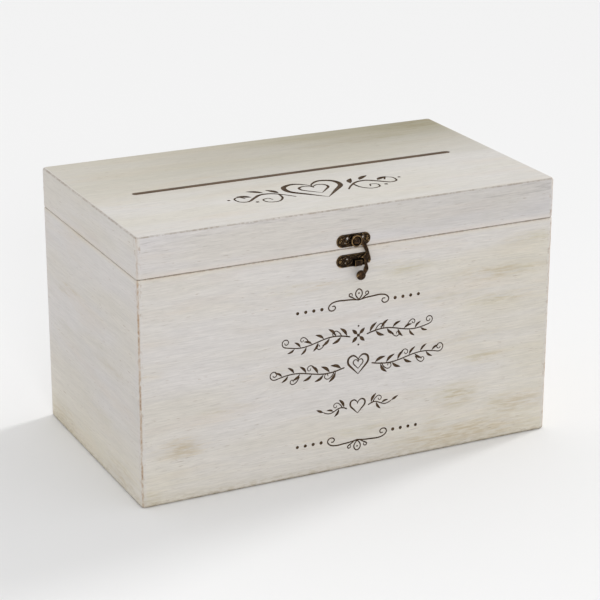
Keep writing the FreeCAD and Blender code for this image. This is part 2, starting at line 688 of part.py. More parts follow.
for side, hx in (("left", "-hinge_x"), ("right", "hinge_x")):
    leaf("hinge_%s_base_leaf" % side, hx, False)
    leaf("hinge_%s_lid_leaf" % side, hx, True)
    stem = rod_x("hinge_%s_pin_stem" % side, "%s - leaf_width / 2" % hx, AXIS_Y, AXIS_Z, "pin_rad", "leaf_width")
    ends = []
    for tag, x0 in (("a", "%s - leaf_width / 2 - pin_head_high" % hx), ("b", "%s + leaf_width / 2" % hx)):
        ends.append(rod_x("hinge_%s_pin_end_%s" % (side, tag), x0, AXIS_Y, AXIS_Z, "pin_head_rad", "pin_head_high"))
    pin = fuse("hinge_%s_pin" % side, [stem] + ends)
    pin.Label = "hinge_%s_pin" % side
    NODES["hinge_%s_pin" % side] = pin

screws("hinge_base_screws", False)
screws("hinge_lid_screws", True)

# ------------------------------------------------------------ test and write
doc.recompute()
probe = doc.getObject("probe")
if probe:
    doc.removeObject("probe")
    doc.recompute()
bad = [o.Name for o in doc.Objects if "Invalid" in o.State or "Error" in o.State]
if bad:
    raise RuntimeError("objects failed: %s" % bad)
for node, obj in NODES.items():
    shape = obj.Shape
    if shape.isNull() or not shape.isValid() or not shape.Solids:
        raise RuntimeError("%s has no valid solid" % node)

os.makedirs("parts", exist_ok=True)
for node, obj in sorted(NODES.items()):
    shape = obj.Shape
    box = shape.BoundBox
    shape.exportStep("parts/%s.step" % node)
    print("%-24s solids %d  volume %10.1f  x %.2f..%.2f  y %.2f..%.2f  z %.2f..%.2f" % (
        node, len(shape.Solids), shape.Volume, box.XMin, box.XMax, box.YMin, box.YMax, box.ZMin, box.ZMax))
print("nodes", len(NODES))
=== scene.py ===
"""The looks of a whitewashed wooden card box: engraved boards, an antique-bronze swing latch and butt hinges."""
import math

import bmesh
import bpy
import numpy as np
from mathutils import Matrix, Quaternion, Vector
from mathutils.geometry import delaunay_2d_cdt


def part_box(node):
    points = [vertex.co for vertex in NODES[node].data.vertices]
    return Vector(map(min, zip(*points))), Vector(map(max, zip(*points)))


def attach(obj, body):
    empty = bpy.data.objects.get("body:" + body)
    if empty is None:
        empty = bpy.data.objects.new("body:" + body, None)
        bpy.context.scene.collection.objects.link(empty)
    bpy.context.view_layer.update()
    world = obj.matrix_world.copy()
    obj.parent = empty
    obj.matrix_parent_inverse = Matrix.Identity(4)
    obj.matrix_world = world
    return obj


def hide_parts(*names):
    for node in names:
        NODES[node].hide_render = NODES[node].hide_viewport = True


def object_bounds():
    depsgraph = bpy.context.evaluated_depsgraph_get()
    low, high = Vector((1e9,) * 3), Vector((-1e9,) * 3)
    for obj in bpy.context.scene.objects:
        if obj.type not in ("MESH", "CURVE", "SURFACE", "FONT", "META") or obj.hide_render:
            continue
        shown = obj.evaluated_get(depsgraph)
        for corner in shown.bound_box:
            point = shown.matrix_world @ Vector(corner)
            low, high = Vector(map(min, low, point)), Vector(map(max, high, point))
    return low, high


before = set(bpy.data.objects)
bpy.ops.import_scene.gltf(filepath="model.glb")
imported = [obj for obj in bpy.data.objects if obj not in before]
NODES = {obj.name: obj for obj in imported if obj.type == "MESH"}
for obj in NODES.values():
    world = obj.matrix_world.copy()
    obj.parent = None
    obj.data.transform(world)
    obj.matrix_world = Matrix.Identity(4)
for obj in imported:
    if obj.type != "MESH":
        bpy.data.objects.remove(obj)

CAD_BOX = [list(v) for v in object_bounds()]
MM = 0.001
scene = bpy.context.scene
scene.view_settings.view_transform = "Standard"
scene.view_settings.look = "None"


def box_mm(node):
    lo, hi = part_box(node)
    return np.array(lo) / MM, np.array(hi) / MM


def centre_mm(node):
    lo, hi = box_mm(node)
    return (lo + hi) / 2


HALF_X = (CAD_BOX[1][0] - CAD_BOX[0][0]) / 2 / MM
TOP_Z = CAD_BOX[1][2] / MM
BACK_Y = box_mm("back_panel")[1][1]
FRONT_Y = box_mm("front_panel")[0][1]
SEAM_Z = (box_mm("front_panel")[1][2] + box_mm("lid_front_rail")[0][2]) / 2
WALL = 10.0


# ------------------------------------------------------------------ shader graph helper
class Graph:
    """A material's nodes, written as arithmetic."""

    def __init__(self, name):
        self.mat = bpy.data.materials.new(name)
        self.mat.use_nodes = True
        self.tree = self.mat.node_tree
        self.tree.nodes.clear()
        self.output = self.tree.nodes.new("ShaderNodeOutputMaterial")
        self.bsdf = self.tree.nodes.new("ShaderNodeBsdfPrincipled")
        self.tree.links.new(self.bsdf.outputs["BSDF"], self.output.inputs["Surface"])

    def node(self, kind, **props):
        n = self.tree.nodes.new(kind)
        for k, v in props.items():
            setattr(n, k, v)
        return n

    def put(self, socket, value):
        if isinstance(value, bpy.types.NodeSocket):
            self.tree.links.new(value, socket)
        else:
            socket.default_value = value

    def m(self, op, a, b=None, c=None, clamp=False):
        n = self.node("ShaderNodeMath", operation=op, use_clamp=clamp)
        for i, v in enumerate((a, b, c)):
            if v is not None:
                self.put(n.inputs[i], v)
        return n.outputs[0]

    def add(self, a, b):
        return self.m("ADD", a, b)

    def sub(self, a, b):
        return self.m("SUBTRACT", a, b)

    def mul(self, a, b):
        return self.m("MULTIPLY", a, b)

    def ramp(self, x, lo, hi, a=0.0, b=1.0):
        """Smooth step of x from lo to hi, giving a to b."""
        n = self.node("ShaderNodeMapRange", interpolation_type="SMOOTHSTEP")
        self.put(n.inputs["Value"], x)
        if lo > hi:
            lo, hi, a, b = hi, lo, b, a
        self.put(n.inputs["From Min"], lo)
        self.put(n.inputs["From Max"], hi)
        self.put(n.inputs["To Min"], a)
        self.put(n.inputs["To Max"], b)
        return n.outputs["Result"]

    def mix(self, fac, a, b, mode="MIX"):
        n = self.node("ShaderNodeMix", data_type="RGBA", blend_type=mode, clamp_factor=True)
        self.put(n.inputs[0], fac)
        for s, v in ((n.inputs[6], a), (n.inputs[7], b)):
            self.put(s, (*v, 1.0) if isinstance(v, tuple) and len(v) == 3 else v)
        return n.outputs[2]

    def vec(self, x, y, z):
        n = self.node("ShaderNodeCombineXYZ")
        for s, v in zip(n.inputs, (x, y, z)):
            self.put(s, v)
        return n.outputs[0]

    def vmath(self, op, a, b=None):
        n = self.node("ShaderNodeVectorMath", operation=op)
        self.put(n.inputs[0], a)
        if b is not None:
            self.put(n.inputs[1], b)
        return n.outputs["Value"] if op in ("LENGTH", "DISTANCE", "DOT_PRODUCT") else n.outputs["Vector"]

    def noise(self, vector, scale=1.0, detail=3.0, rough=0.5, distort=0.0):
        n = self.node("ShaderNodeTexNoise")
        self.put(n.inputs["Vector"], vector)
        self.put(n.inputs["Scale"], scale)
        self.put(n.inputs["Detail"], detail)
        self.put(n.inputs["Roughness"], rough)
        self.put(n.inputs["Distortion"], distort)
        return n.outputs[0]

    def object_mm(self):
        c = self.node("ShaderNodeTexCoord").outputs["Object"]
        v = self.vmath("MULTIPLY", c, (1000.0, 1000.0, 1000.0))
        s = self.node("ShaderNodeSeparateXYZ")
        self.put(s.inputs[0], v)
        return v, s.outputs[0], s.outputs[1], s.outputs[2]

    def bump(self, height, strength, distance_mm, normal=None):
        n = self.node("ShaderNodeBump")
        n.inputs["Strength"].default_value = strength
        n.inputs["Distance"].default_value = distance_mm * MM
        self.put(n.inputs["Height"], height)
        if normal is not None:
            self.put(n.inputs["Normal"], normal)
        return n.outputs[0]


def srgb(r, g, b):
    def f(c):
        c /= 255.0
        return c / 12.92 if c <= 0.04045 else ((c + 0.055) / 1.055) ** 2.4

    return (f(r), f(g), f(b))


# ------------------------------------------------------------------ materials
def whitewashed(name, along, stains, seed, cool, warm, pink, tan, olive, slot=None):
    """Thin white paint brushed over planed softwood: fibres along one axis, blotches where the wood shows through, and worn edges.

    stains are (x, y, z, rx, ry, rz, strength) in mm: places where the paint is thinner.
    """
    g = Graph(name)
    mm, x, y, z = g.object_mm()
    a, c = (x, y) if along == "x" else (y, x)

    wave = g.noise(g.vec(g.mul(a, 1 / 150), g.mul(c, 1 / 70), g.mul(z, 1 / 70)), 1.0, 2.0)
    wave = g.mul(g.sub(wave, 0.5), 11.0)
    cw, zw = g.add(c, wave), g.add(z, wave)

    def grain(la, lc, detail, rough=0.55, shift=0.0, distort=0.0):
        v = g.vec(g.m("MULTIPLY_ADD", a, 1 / la, seed + shift), g.mul(cw, 1 / lc), g.mul(zw, 1 / lc))
        return g.noise(v, 1.0, detail, rough, distort)

    fine = grain(26, 1.15, 4.0, 0.62)
    thread = grain(11, 0.8, 2.0, 0.6, 41.3)
    fleck = grain(13, 1.7, 3.0, 0.62, 27.3)
    micro = grain(5.5, 0.3, 2.0, 0.6, 7.3)
    mid = grain(95, 6.0, 4.0, 0.6, 13.1)
    streaky = grain(60, 3.4, 3.0, 0.6, 17.9)
    big = grain(170, 36.0, 3.0, 0.5, 21.7)
    big2 = grain(120, 20.0, 3.0, 0.55, 33.9)
    soft = g.noise(g.vec(g.mul(x, 1 / 60), g.mul(y, 1 / 60), g.m("MULTIPLY_ADD", z, 1 / 45, seed)), 1.0, 2.0)

    base = g.mix(g.ramp(big, 0.36, 0.64), cool, warm)
    base = g.mix(g.mul(g.ramp(big2, 0.50, 0.70), 0.38), base, pink)
    # the paint yellows low down, and on the front towards the right as well
    age = g.ramp(g.add(z, g.mul(g.sub(big, 0.5), 70.0)), 56.0, 2.0)
    if slot is not None:
        age = g.mul(age, g.ramp(g.m("ABSOLUTE", g.add(x, 50.0)), 40.0, 130.0, 0.50, 1.0))
        side = g.mul(g.ramp(g.add(x, g.mul(g.sub(big2, 0.5), 160.0)), 20.0, 175.0), g.ramp(g.sub(SEAM_Z, z), -3.0, 16.0))
        age = g.m("MAXIMUM", age, g.mul(side, 0.75))
    age = g.mul(age, g.ramp(g.add(g.mul(streaky, 0.5), g.mul(soft, 0.5)), 0.36, 0.60, 0.55, 1.0))
    base = g.mix(age, base, g.mix(1.0, base, (1.0, 0.983, 0.895), "MULTIPLY"))
    # painted light: the paint is made lighter towards the bottom, more on the sides, to undo the shade near the floor
    base = g.mix(g.ramp(z, 80.0, 8.0), base, g.mix(1.0, base, (1.05, 1.05, 1.04) if along == "x" else (1.10, 1.10, 1.08), "MULTIPLY"))

    # where the paint is thin
    thin = g.mul(g.ramp(g.add(g.mul(big2, 0.55), g.mul(mid, 0.45)), 0.50, 0.68), 0.30)
    for sx, sy, sz, rx, ry, rz, k in stains:
        d = g.vmath("MULTIPLY", g.vmath("SUBTRACT", mm, (sx, sy, sz)), (1 / rx, 1 / ry, 1 / rz))
        spot = g.ramp(g.vmath("LENGTH", d), 1.15, 0.0, 0.0, k)
        thin = g.m("MAXIMUM", thin, spot)
    flecked = g.add(g.mul(streaky, 0.28), g.mul(fleck, 0.72))
    thin = g.mul(thin, g.ramp(flecked, 0.38, 0.62, 0.36, 1.0))
    broken = g.add(thin, g.mul(g.sub(fine, 0.5), g.m("MULTIPLY_ADD", thin, 1.9, 0.10)))
    broken = g.add(broken, g.mul(g.sub(thread, 0.5), g.mul(thin, 1.1)))
    broken = g.m("MULTIPLY", g.ramp(broken, 0.02, 0.95), 0.84)
    stain = g.mix(g.ramp(soft, 0.42, 0.60), tan, olive)
    col = g.mix(broken, base, stain)

    # brush streaks, fibres and pores
    streak = g.mul(g.sub(mid, 0.5), 0.15)
    fibre = g.m("MULTIPLY_ADD", g.sub(fine, 0.5), 0.31, g.mul(g.sub(thread, 0.5), 0.26 if along == "x" else 0.06))
    tone = g.add(g.add(streak, fibre), g.m("MULTIPLY_ADD", g.sub(micro, 0.5), 0.14, 1.0))
    col = g.mix(1.0, col, g.vec(tone, tone, tone), "MULTIPLY")
    pore = g.mul(g.ramp(grain(8.0, 0.6, 2.0, 0.5, 51.0), 0.64, 0.74), g.ramp(mid, 0.42, 0.62, 0.12, 0.55))
    col = g.mix(pore, col, srgb(150, 128, 108))

    if slot is not None:  # the lid's top: painted shade, a little over the whole top and more towards the back, most of all at its right, together with a yellowed, olive paint tone there
        up = g.ramp(z, TOP_Z - 1.2, TOP_Z - 0.2)
        drift = g.mul(g.sub(big, 0.5), 70.0)
        # painted shade: the whole top face a little darker and warmer
        col = g.mix(up, col, g.mix(1.0, col, (0.945, 0.95, 0.935), "MULTIPLY"))
        # painted shade together with an olive paint tone, darker towards the back
        rear_shade_and_tint = g.mul(g.ramp(g.add(y, g.mul(drift, 0.5)), -48.0, 40.0), up)
        rear_shade_and_tint = g.mul(rear_shade_and_tint, g.ramp(x, -170.0, -50.0, 0.62, 1.0))
        col = g.mix(rear_shade_and_tint, col, g.mix(1.0, col, (0.80, 0.79, 0.735), "MULTIPLY"))
        rear_shade_and_tint = g.mul(g.mul(g.ramp(g.add(y, g.mul(drift, 0.3)), 20.0, 96.0), g.ramp(x, -150.0, -20.0, 0.3, 1.0)), up)
        col = g.mix(rear_shade_and_tint, col, g.mix(1.0, col, (1.0, 0.985, 0.965), "MULTIPLY"))
        # painted shade together with an olive-tan paint tone, darkest at the back right corner
        far_shade_and_stain = g.mul(g.mul(g.ramp(g.add(x, drift), -120.0, 172.0), g.ramp(g.add(y, g.mul(drift, 0.25)), 14.0, 98.0)), up)
        far_shade_and_stain = g.mul(far_shade_and_stain, g.m("MULTIPLY_ADD", streaky, 0.55, 0.72))
        col = g.mix(far_shade_and_stain, col, g.mix(1.0, col, (0.67, 0.655, 0.56), "MULTIPLY"))
        # greyer paint with dark brush scuffs on the lid's front
        brow = g.mul(g.ramp(y, FRONT_Y + 1.5, FRONT_Y + 0.5), g.ramp(g.sub(z, SEAM_Z), 0.0, 6.0))
        col = g.mix(brow, col, g.mix(g.ramp(g.add(x, g.mul(drift, 1.2)), -60.0, 120.0), g.mix(1.0, col, (0.97, 0.97, 0.99), "MULTIPLY"),
                                     g.mix(1.0, col, (0.90, 0.905, 0.93), "MULTIPLY")))
        smear = g.mul(g.ramp(grain(30, 2.1, 4.0, 0.65, 61.0), 0.54, 0.68), g.mul(g.ramp(g.sub(TOP_Z, z), 22.0, 5.0), brow))
        col = g.mix(g.mul(smear, 0.42), col, srgb(152, 146, 142))

    # distances to the box's own edges, in mm
    dx = g.sub(HALF_X, g.m("ABSOLUTE", x))
    dy = g.sub(BACK_Y, g.m("ABSOLUTE", y))
    near = g.m("MINIMUM", dx, dy)
    corner = g.m("MAXIMUM", dx, dy)
    top = g.m("MAXIMUM", g.sub(TOP_Z, z), near)
    foot = g.m("MAXIMUM", z, near)
    seam = g.m("ABSOLUTE", g.sub(z, SEAM_Z))
    skin = g.ramp(near, 1.8, 0.8)

    chips = g.noise(g.vec(g.mul(x, 0.45), g.mul(y, 0.45), g.mul(z, 0.22)), 1.0, 4.0, 0.62)
    rub = g.noise(g.vec(g.mul(x, 0.035), g.mul(y, 0.035), g.mul(z, 0.03)), 1.0, 2.0)
    rub = g.ramp(rub, 0.40, 0.60)
    worn = srgb(160, 134, 108)
    # the vertical corners: a thin bare line, and a rough band with specks beside it
    band = g.ramp(corner, 5.2, 2.4)
    col = g.mix(g.mul(band, 0.34), col, cool)
    specks = g.mul(g.mul(band, g.ramp(chips, 0.53, 0.63)), g.m("MULTIPLY_ADD", rub, 0.50, 0.20))
    col = g.mix(specks, col, worn)
    below = g.ramp(g.sub(z, SEAM_Z), -1.0, 1.0, 1.0, 0.42)
    line = g.mul(g.ramp(corner, 1.9, 1.15), g.m("MULTIPLY_ADD", g.ramp(chips, 0.38, 0.54), 0.58, g.m("MULTIPLY_ADD", rub, 0.26, 0.06)))
    col = g.mix(g.mul(line, below), col, srgb(172, 140, 108))
    nick = g.mul(g.ramp(corner, 1.5, 0.9), g.ramp(chips, 0.57, 0.65))
    col = g.mix(g.mul(g.mul(nick, 0.5), below), col, srgb(120, 97, 76))
    # the lid's top edge, the foot and the lips of the seam
    line = g.mul(g.ramp(top, 1.5, 0.8), g.m("MULTIPLY_ADD", g.ramp(chips, 0.42, 0.58), 0.42, g.m("MULTIPLY_ADD", rub, 0.24, 0.08)))
    col = g.mix(line, col, srgb(150, 136, 120))
    kicks = g.noise(g.vec(g.mul(x, 0.16), g.mul(y, 0.16), g.mul(z, 0.55)), 1.0, 4.0, 0.62)
    line = g.mul(g.ramp(foot, 10.0, 1.0), g.m("MULTIPLY_ADD", g.ramp(kicks, 0.44, 0.62), 0.36, 0.04))
    col = g.mix(line, col, srgb(172, 158, 128))
    line = g.mul(g.ramp(foot, 2.8, 0.5), g.m("MULTIPLY_ADD", g.ramp(kicks, 0.38, 0.60), 0.42, 0.34))
    col = g.mix(line, col, srgb(136, 120, 94))
    lip = g.mul(g.mul(g.ramp(seam, 1.15, 0.5), skin), g.m("MULTIPLY_ADD", g.ramp(chips, 0.38, 0.60), 0.46, 0.10))
    if along == "y":
        lip = g.mul(lip, 0.55)
    col = g.mix(lip, col, srgb(158, 130, 106))
    blush = g.mul(g.mul(g.ramp(g.sub(z, SEAM_Z), 5.5, 1.0), g.ramp(g.sub(z, SEAM_Z), -0.2, 0.4)), skin)
    col = g.mix(g.mul(blush, 0.40), col, pink)
    blush = g.mul(g.mul(g.ramp(g.sub(SEAM_Z, z), 4.5, 0.8), g.ramp(g.sub(SEAM_Z, z), -0.2, 0.4)), skin)
    col = g.mix(g.mul(blush, 0.35), col, srgb(214, 205, 186))

    if slot is not None:
        hx, hy = slot
        d = g.m("MAXIMUM", g.sub(g.m("ABSOLUTE", x), hx), g.sub(g.m("ABSOLUTE", y), hy))
        sawn = g.mul(g.ramp(d, 0.25, 0.02), g.ramp(z, TOP_Z - 0.05, TOP_Z - 0.5))
        col = g.mix(g.mul(sawn, 0.9), col, g.mix(g.ramp(fine, 0.4, 0.65), srgb(146, 122, 100), srgb(112, 92, 74)))

    # inside: bare planed wood
    bare_a = g.mul(g.ramp(near, WALL - 0.8, WALL - 0.15), g.ramp(z, TOP_Z - 8.2, TOP_Z - 8.9))
    bare = g.mix(g.ramp(mid, 0.3, 0.7), srgb(205, 180, 146), srgb(184, 154, 116))
    bare = g.mix(g.mul(g.ramp(fine, 0.52, 0.74), 0.4), bare, srgb(150, 118, 84))
    col = g.mix(bare_a, col, bare)

    g.put(g.bsdf.inputs["Base Color"], col)
    rough = g.m("MULTIPLY_ADD", fine, 0.22, g.m("MULTIPLY_ADD", broken, 0.10, 0.44))
    g.put(g.bsdf.inputs["Roughness"], rough)
    g.bsdf.inputs["Specular IOR Level"].default_value = 0.32
    relief = g.add(g.mul(fine, 0.7), g.m("MULTIPLY_ADD", micro, 0.3, g.mul(mid, 0.5)))
    n = g.bump(relief, 0.5, 0.17)
    n = g.bump(g.mul(g.mul(chips, g.ramp(corner, 4.5, 1.5)), 1.0), 0.6, 0.35, n)
    g.put(g.bsdf.inputs["Normal"], n)
    return g.mat


def bare_board(name):
    """The bottom board: planed wood with no paint, seen inside and from below."""
    g = Graph(name)
    mm, x, y, z = g.object_mm()
    wave = g.mul(g.sub(g.noise(g.vec(g.mul(x, 1 / 120), g.mul(y, 1 / 60), z), 1.0, 2.0), 0.5), 26.0)
    yw = g.add(y, wave)
    rings = g.noise(g.vec(g.mul(x, 1 / 160), g.mul(yw, 1 / 7.0), g.mul(z, 0.1)), 1.0, 4.0, 0.55)
    fine = g.noise(g.vec(g.mul(x, 1 / 22), g.mul(yw, 1 / 0.9), g.mul(z, 0.9)), 1.0, 3.0, 0.6)
    pore = g.noise(g.vec(g.mul(x, 1 / 6), g.mul(yw, 1 / 0.5), z), 1.0, 2.0)
    col = g.mix(g.ramp(rings, 0.34, 0.66), srgb(214, 190, 156), srgb(186, 156, 118))
    col = g.mix(g.mul(g.ramp(fine, 0.5, 0.78), 0.5), col, srgb(152, 120, 86))
    col = g.mix(g.mul(g.ramp(pore, 0.66, 0.76), 0.6), col, srgb(112, 84, 58))
    g.put(g.bsdf.inputs["Base Color"], col)
    g.put(g.bsdf.inputs["Roughness"], g.m("MULTIPLY_ADD", fine, 0.25, 0.5))
    g.bsdf.inputs["Specular IOR Level"].default_value = 0.3
    g.put(g.bsdf.inputs["Normal"], g.bump(g.add(fine, g.mul(rings, 0.5)), 0.5, 0.18))
    return g.mat


def engraving(name):
    """The burned floor and walls of the engraved lines."""
    g = Graph(name)
    mm, x, y, z = g.object_mm()
    soot = g.noise(mm, 0.55, 3.0, 0.6)
    grain = g.noise(g.vec(g.mul(x, 0.12), g.mul(y, 1.6), g.mul(z, 1.6)), 1.0, 3.0)
    col = g.mix(g.ramp(soot, 0.35, 0.65), srgb(66, 51, 37), srgb(92, 73, 53))
    col = g.mix(g.mul(g.ramp(grain, 0.5, 0.7), 0.5), col, srgb(46, 35, 26))
    g.put(g.bsdf.inputs["Base Color"], col)
    g.put(g.bsdf.inputs["Roughness"], g.m("MULTIPLY_ADD", grain, 0.2, 0.72))
    g.bsdf.inputs["Specular IOR Level"].default_value = 0.2
    g.put(g.bsdf.inputs["Normal"], g.bump(grain, 0.5, 0.12))
    return g.mat


def antique_bronze(name, shine=1.0, deep=srgb(42, 31, 22), lit=srgb(70, 50, 33)):
    """Dark cast bronze with a brown-black patina and brass rubbed bright on what stands proud."""
    g = Graph(name)
    mm, x, y, z = g.object_mm()
    cloud = g.noise(mm, 0.42, 4.0, 0.6)
    pits = g.noise(mm, 2.6, 3.0, 0.65)
    scuff = g.noise(g.vec(g.mul(x, 0.5), g.mul(y, 3.0), g.mul(z, 2.2)), 1.0, 3.0, 0.6)
    edge = g.node("ShaderNodeNewGeometry").outputs["Pointiness"]
    rubbed = g.ramp(g.add(edge, g.mul(g.sub(cloud, 0.5), 0.07)), 0.516, 0.580)
    rubbed = g.m("MAXIMUM", rubbed, g.mul(g.ramp(scuff, 0.60, 0.76), 0.30))
    sunk = g.ramp(g.add(edge, g.mul(g.sub(pits, 0.5), 0.03)), 0.502, 0.462)
    col = g.mix(g.ramp(cloud, 0.36, 0.66), deep, lit)
    col = g.mix(g.mul(g.ramp(pits, 0.56, 0.70), 0.45), col, srgb(28, 22, 17))
    col = g.mix(g.mul(rubbed, 0.80 * shine), col, srgb(182, 150, 104))
    col = g.mix(g.mul(sunk, 0.85), col, srgb(15, 12, 9))
    g.put(g.bsdf.inputs["Base Color"], col)
    g.bsdf.inputs["Metallic"].default_value = 0.92
    rough = g.m("MULTIPLY_ADD", pits, 0.20, g.m("MULTIPLY_ADD", rubbed, -0.10, g.m("MULTIPLY_ADD", sunk, 0.35, 0.26)))
    g.put(g.bsdf.inputs["Roughness"], rough)
    g.put(g.bsdf.inputs["Normal"], g.bump(g.add(pits, g.mul(cloud, 0.6)), 0.35, 0.08))
    return g.mat


COOL, WARM, PINK = srgb(213, 209, 206), srgb(211, 206, 198), srgb(213, 204, 195)
TAN, OLIVE = srgb(188, 172, 142), srgb(182, 173, 142)

front_stains = [
    (-143, -100, 43, 32, 6, 13, 0.80), (-168, -100, 104, 22, 6, 6, 0.45), (-105, -100, 68, 42, 6, 6, 0.45),
    (-40, -100, 154, 55, 6, 7, 0.50), (45, -100, 157, 36, 6, 9, 0.54), (18, -100, 163, 60, 6, 6, 0.40),
    (128, -100, 142, 70, 6, 11, 0.66), (128, -100, 120, 54, 6, 9, 0.56), (116, -100, 74, 36, 6, 10, 0.58),
    (90, -100, 92, 70, 6, 8, 0.42), (92, -100, 44, 34, 6, 17, 0.72), (60, -100, 52, 70, 6, 8, 0.35),
    (95, -100, 12, 120, 6, 16, 0.72), (146, -100, 28, 56, 6, 17, 0.66), (10, -100, 30, 60, 6, 8, 0.45),
    (-170, -100, 8, 20, 6, 10, 0.55), (-60, -100, 92, 40, 6, 5, 0.30), (156, -100, 166, 42, 6, 9, 0.52), (80, -100, 128, 56, 6, 6, 0.50), (70, -100, 20, 26, 6, 16, 0.55),
]
top_stains = [
    (150, 88, 212, 60, 22, 8, 0.60), (90, 60, 212, 110, 14, 8, 0.50), (40, 84, 212, 90, 12, 8, 0.35),
    (120, 40, 212, 66, 12, 8, 0.36), (-60, 66, 212, 100, 16, 8, 0.24),
]
side_stains = [
    (-175, 70, 8, 6, 60, 24, 0.50), (-175, -60, 10, 6, 80, 26, 0.42), (-175, 40, 128, 6, 48, 6, 0.50),
    (-175, 60, 122, 6, 34, 5, 0.45), (-175, -40, 92, 6, 60, 7, 0.36), (-175, 20, 180, 6, 40, 4, 0.50),
    (-175, -20, 45, 6, 90, 12, 0.30), (-175, 60, 92, 6, 30, 8, 0.35),
]
back_stains = [
    (-90, 100, 60, 60, 6, 10, 0.6), (60, 100, 110, 70, 6, 7, 0.5), (120, 100, 20, 60, 6, 14, 0.65), (-140, 100, 150, 40, 6, 8, 0.45),
]
WOOD_X = whitewashed("whitewashed_wood_x", "x", front_stains + top_stains, 3.7, COOL, WARM, PINK, TAN, OLIVE, slot=(138.1, 3.1))
WOOD_B = whitewashed("whitewashed_wood_back", "x", back_stains, 17.2, COOL, WARM, PINK, TAN, OLIVE)
WOOD_Y = whitewashed("whitewashed_wood_y", "y", side_stains, 9.4, COOL, WARM, PINK, TAN, OLIVE)
BOARD = bare_board("planed_board")
BURNT = engraving("burnt_engraving")
BRONZE = antique_bronze("antique_bronze_relief", 0.9, srgb(30, 22, 15), srgb(52, 38, 25))
WARM_BRONZE = antique_bronze("antique_bronze_rubbed", 1.0, srgb(36, 27, 19), srgb(72, 52, 34))
HINGE = antique_bronze("antique_bronze_hinge", 0.55)

for node, mat in (
    ("front_panel", WOOD_X), ("back_panel", WOOD_B), ("lid_front_rail", WOOD_X), ("lid_back_rail", WOOD_B),
    ("lid_top_panel", WOOD_X), ("left_panel", WOOD_Y), ("right_panel", WOOD_Y), ("lid_left_rail", WOOD_Y),
    ("lid_right_rail", WOOD_Y), ("bottom_panel", BOARD),
):
    for s in NODES[node].material_slots:
        s.material = mat
for node, obj in NODES.items():
    if node.startswith(("latch_", "hinge_")):
        for s in obj.material_slots:
            s.material = HINGE if node.startswith("hinge_") else BRONZE


# ------------------------------------------------------------------ mesh helpers
def make(name, verts, faces, mats, index=None, angle=40.0, flat=None, outward=True):
    """A mesh object from points in mm, shaded smooth but for edges sharper than angle."""
    mesh = bpy.data.meshes.new(name)
    mesh.from_pydata([tuple(float(c) * MM for c in v) for v in verts], [], [tuple(f) for f in faces])
    for m in mats:
        mesh.materials.append(m)
    if index is not None:
        mesh.polygons.foreach_set("material_index", np.array(index, np.int32))
    bm = bmesh.new()
    bm.from_mesh(mesh)
    bmesh.ops.remove_doubles(bm, verts=bm.verts, dist=1e-6)
    if outward:
        bmesh.ops.recalc_face_normals(bm, faces=bm.faces)
    bm.to_mesh(mesh)
    bm.free()
    mesh.shade_smooth()
    mesh.set_sharp_from_angle(angle=math.radians(angle))
    if flat is not None:
        for p in mesh.polygons:
            if flat(p):
                p.use_smooth = False
    mesh.update()
    obj = bpy.data.objects.new(name, mesh)
    scene.collection.objects.link(obj)
    return obj


def spline(points, per=8, closed=False):
    """A Catmull-Rom curve through the points, as an array of samples."""
    p = np.array(points, float)
    if closed:
        q = np.vstack([p[-1], p, p[0], p[1]])
    else:
        q = np.vstack([2 * p[0] - p[1], p, 2 * p[-1] - p[-2]])
    out = []
    for i in range(len(q) - 3):
        a, b, c, d = q[i : i + 4]
        for t in np.arange(per) / per:
            out.append(0.5 * (2 * b + (c - a) * t + (2 * a - 5 * b + 4 * c - d) * t * t + (3 * b - a - 3 * c + d) * t**3))
    if not closed:
        out.append(p[-1])
    return np.array(out)


def segment_distance(points, a, b):
    """Distance from each point to each segment, and how far along it, as arrays."""
    ab = b - a
    ap = points[:, None, :] - a[None]
    t = np.clip((ap * ab).sum(2) / np.maximum((ab * ab).sum(1), 1e-12), 0, 1)
    return np.linalg.norm(ap - t[..., None] * ab, axis=2), t


def line_distance(points, line):
    line = np.asarray(line, float)
    return segment_distance(points, line[:-1], line[1:])[0].min(1)


def inside(points, loop):
    """Even-odd test of each point against a closed loop."""
    a = np.asarray(loop, float)
    b = np.roll(a, -1, 0)
    px, py = points[:, 0, None], points[:, 1, None]
    cross = (a[:, 1] > py) != (b[:, 1] > py)
    with np.errstate(divide="ignore", invalid="ignore"):
        at = (b[:, 0] - a[:, 0]) * (py - a[:, 1]) / (b[:, 1] - a[:, 1]) + a[:, 0]
    return (cross & (px < at)).sum(1) % 2 == 1


def circle(cx, cz, r, n=48, start=0.0):
    t = start + np.arange(n) / n * 2 * math.pi
    return np.stack([cx + r * np.cos(t), cz + r * np.sin(t)], 1)


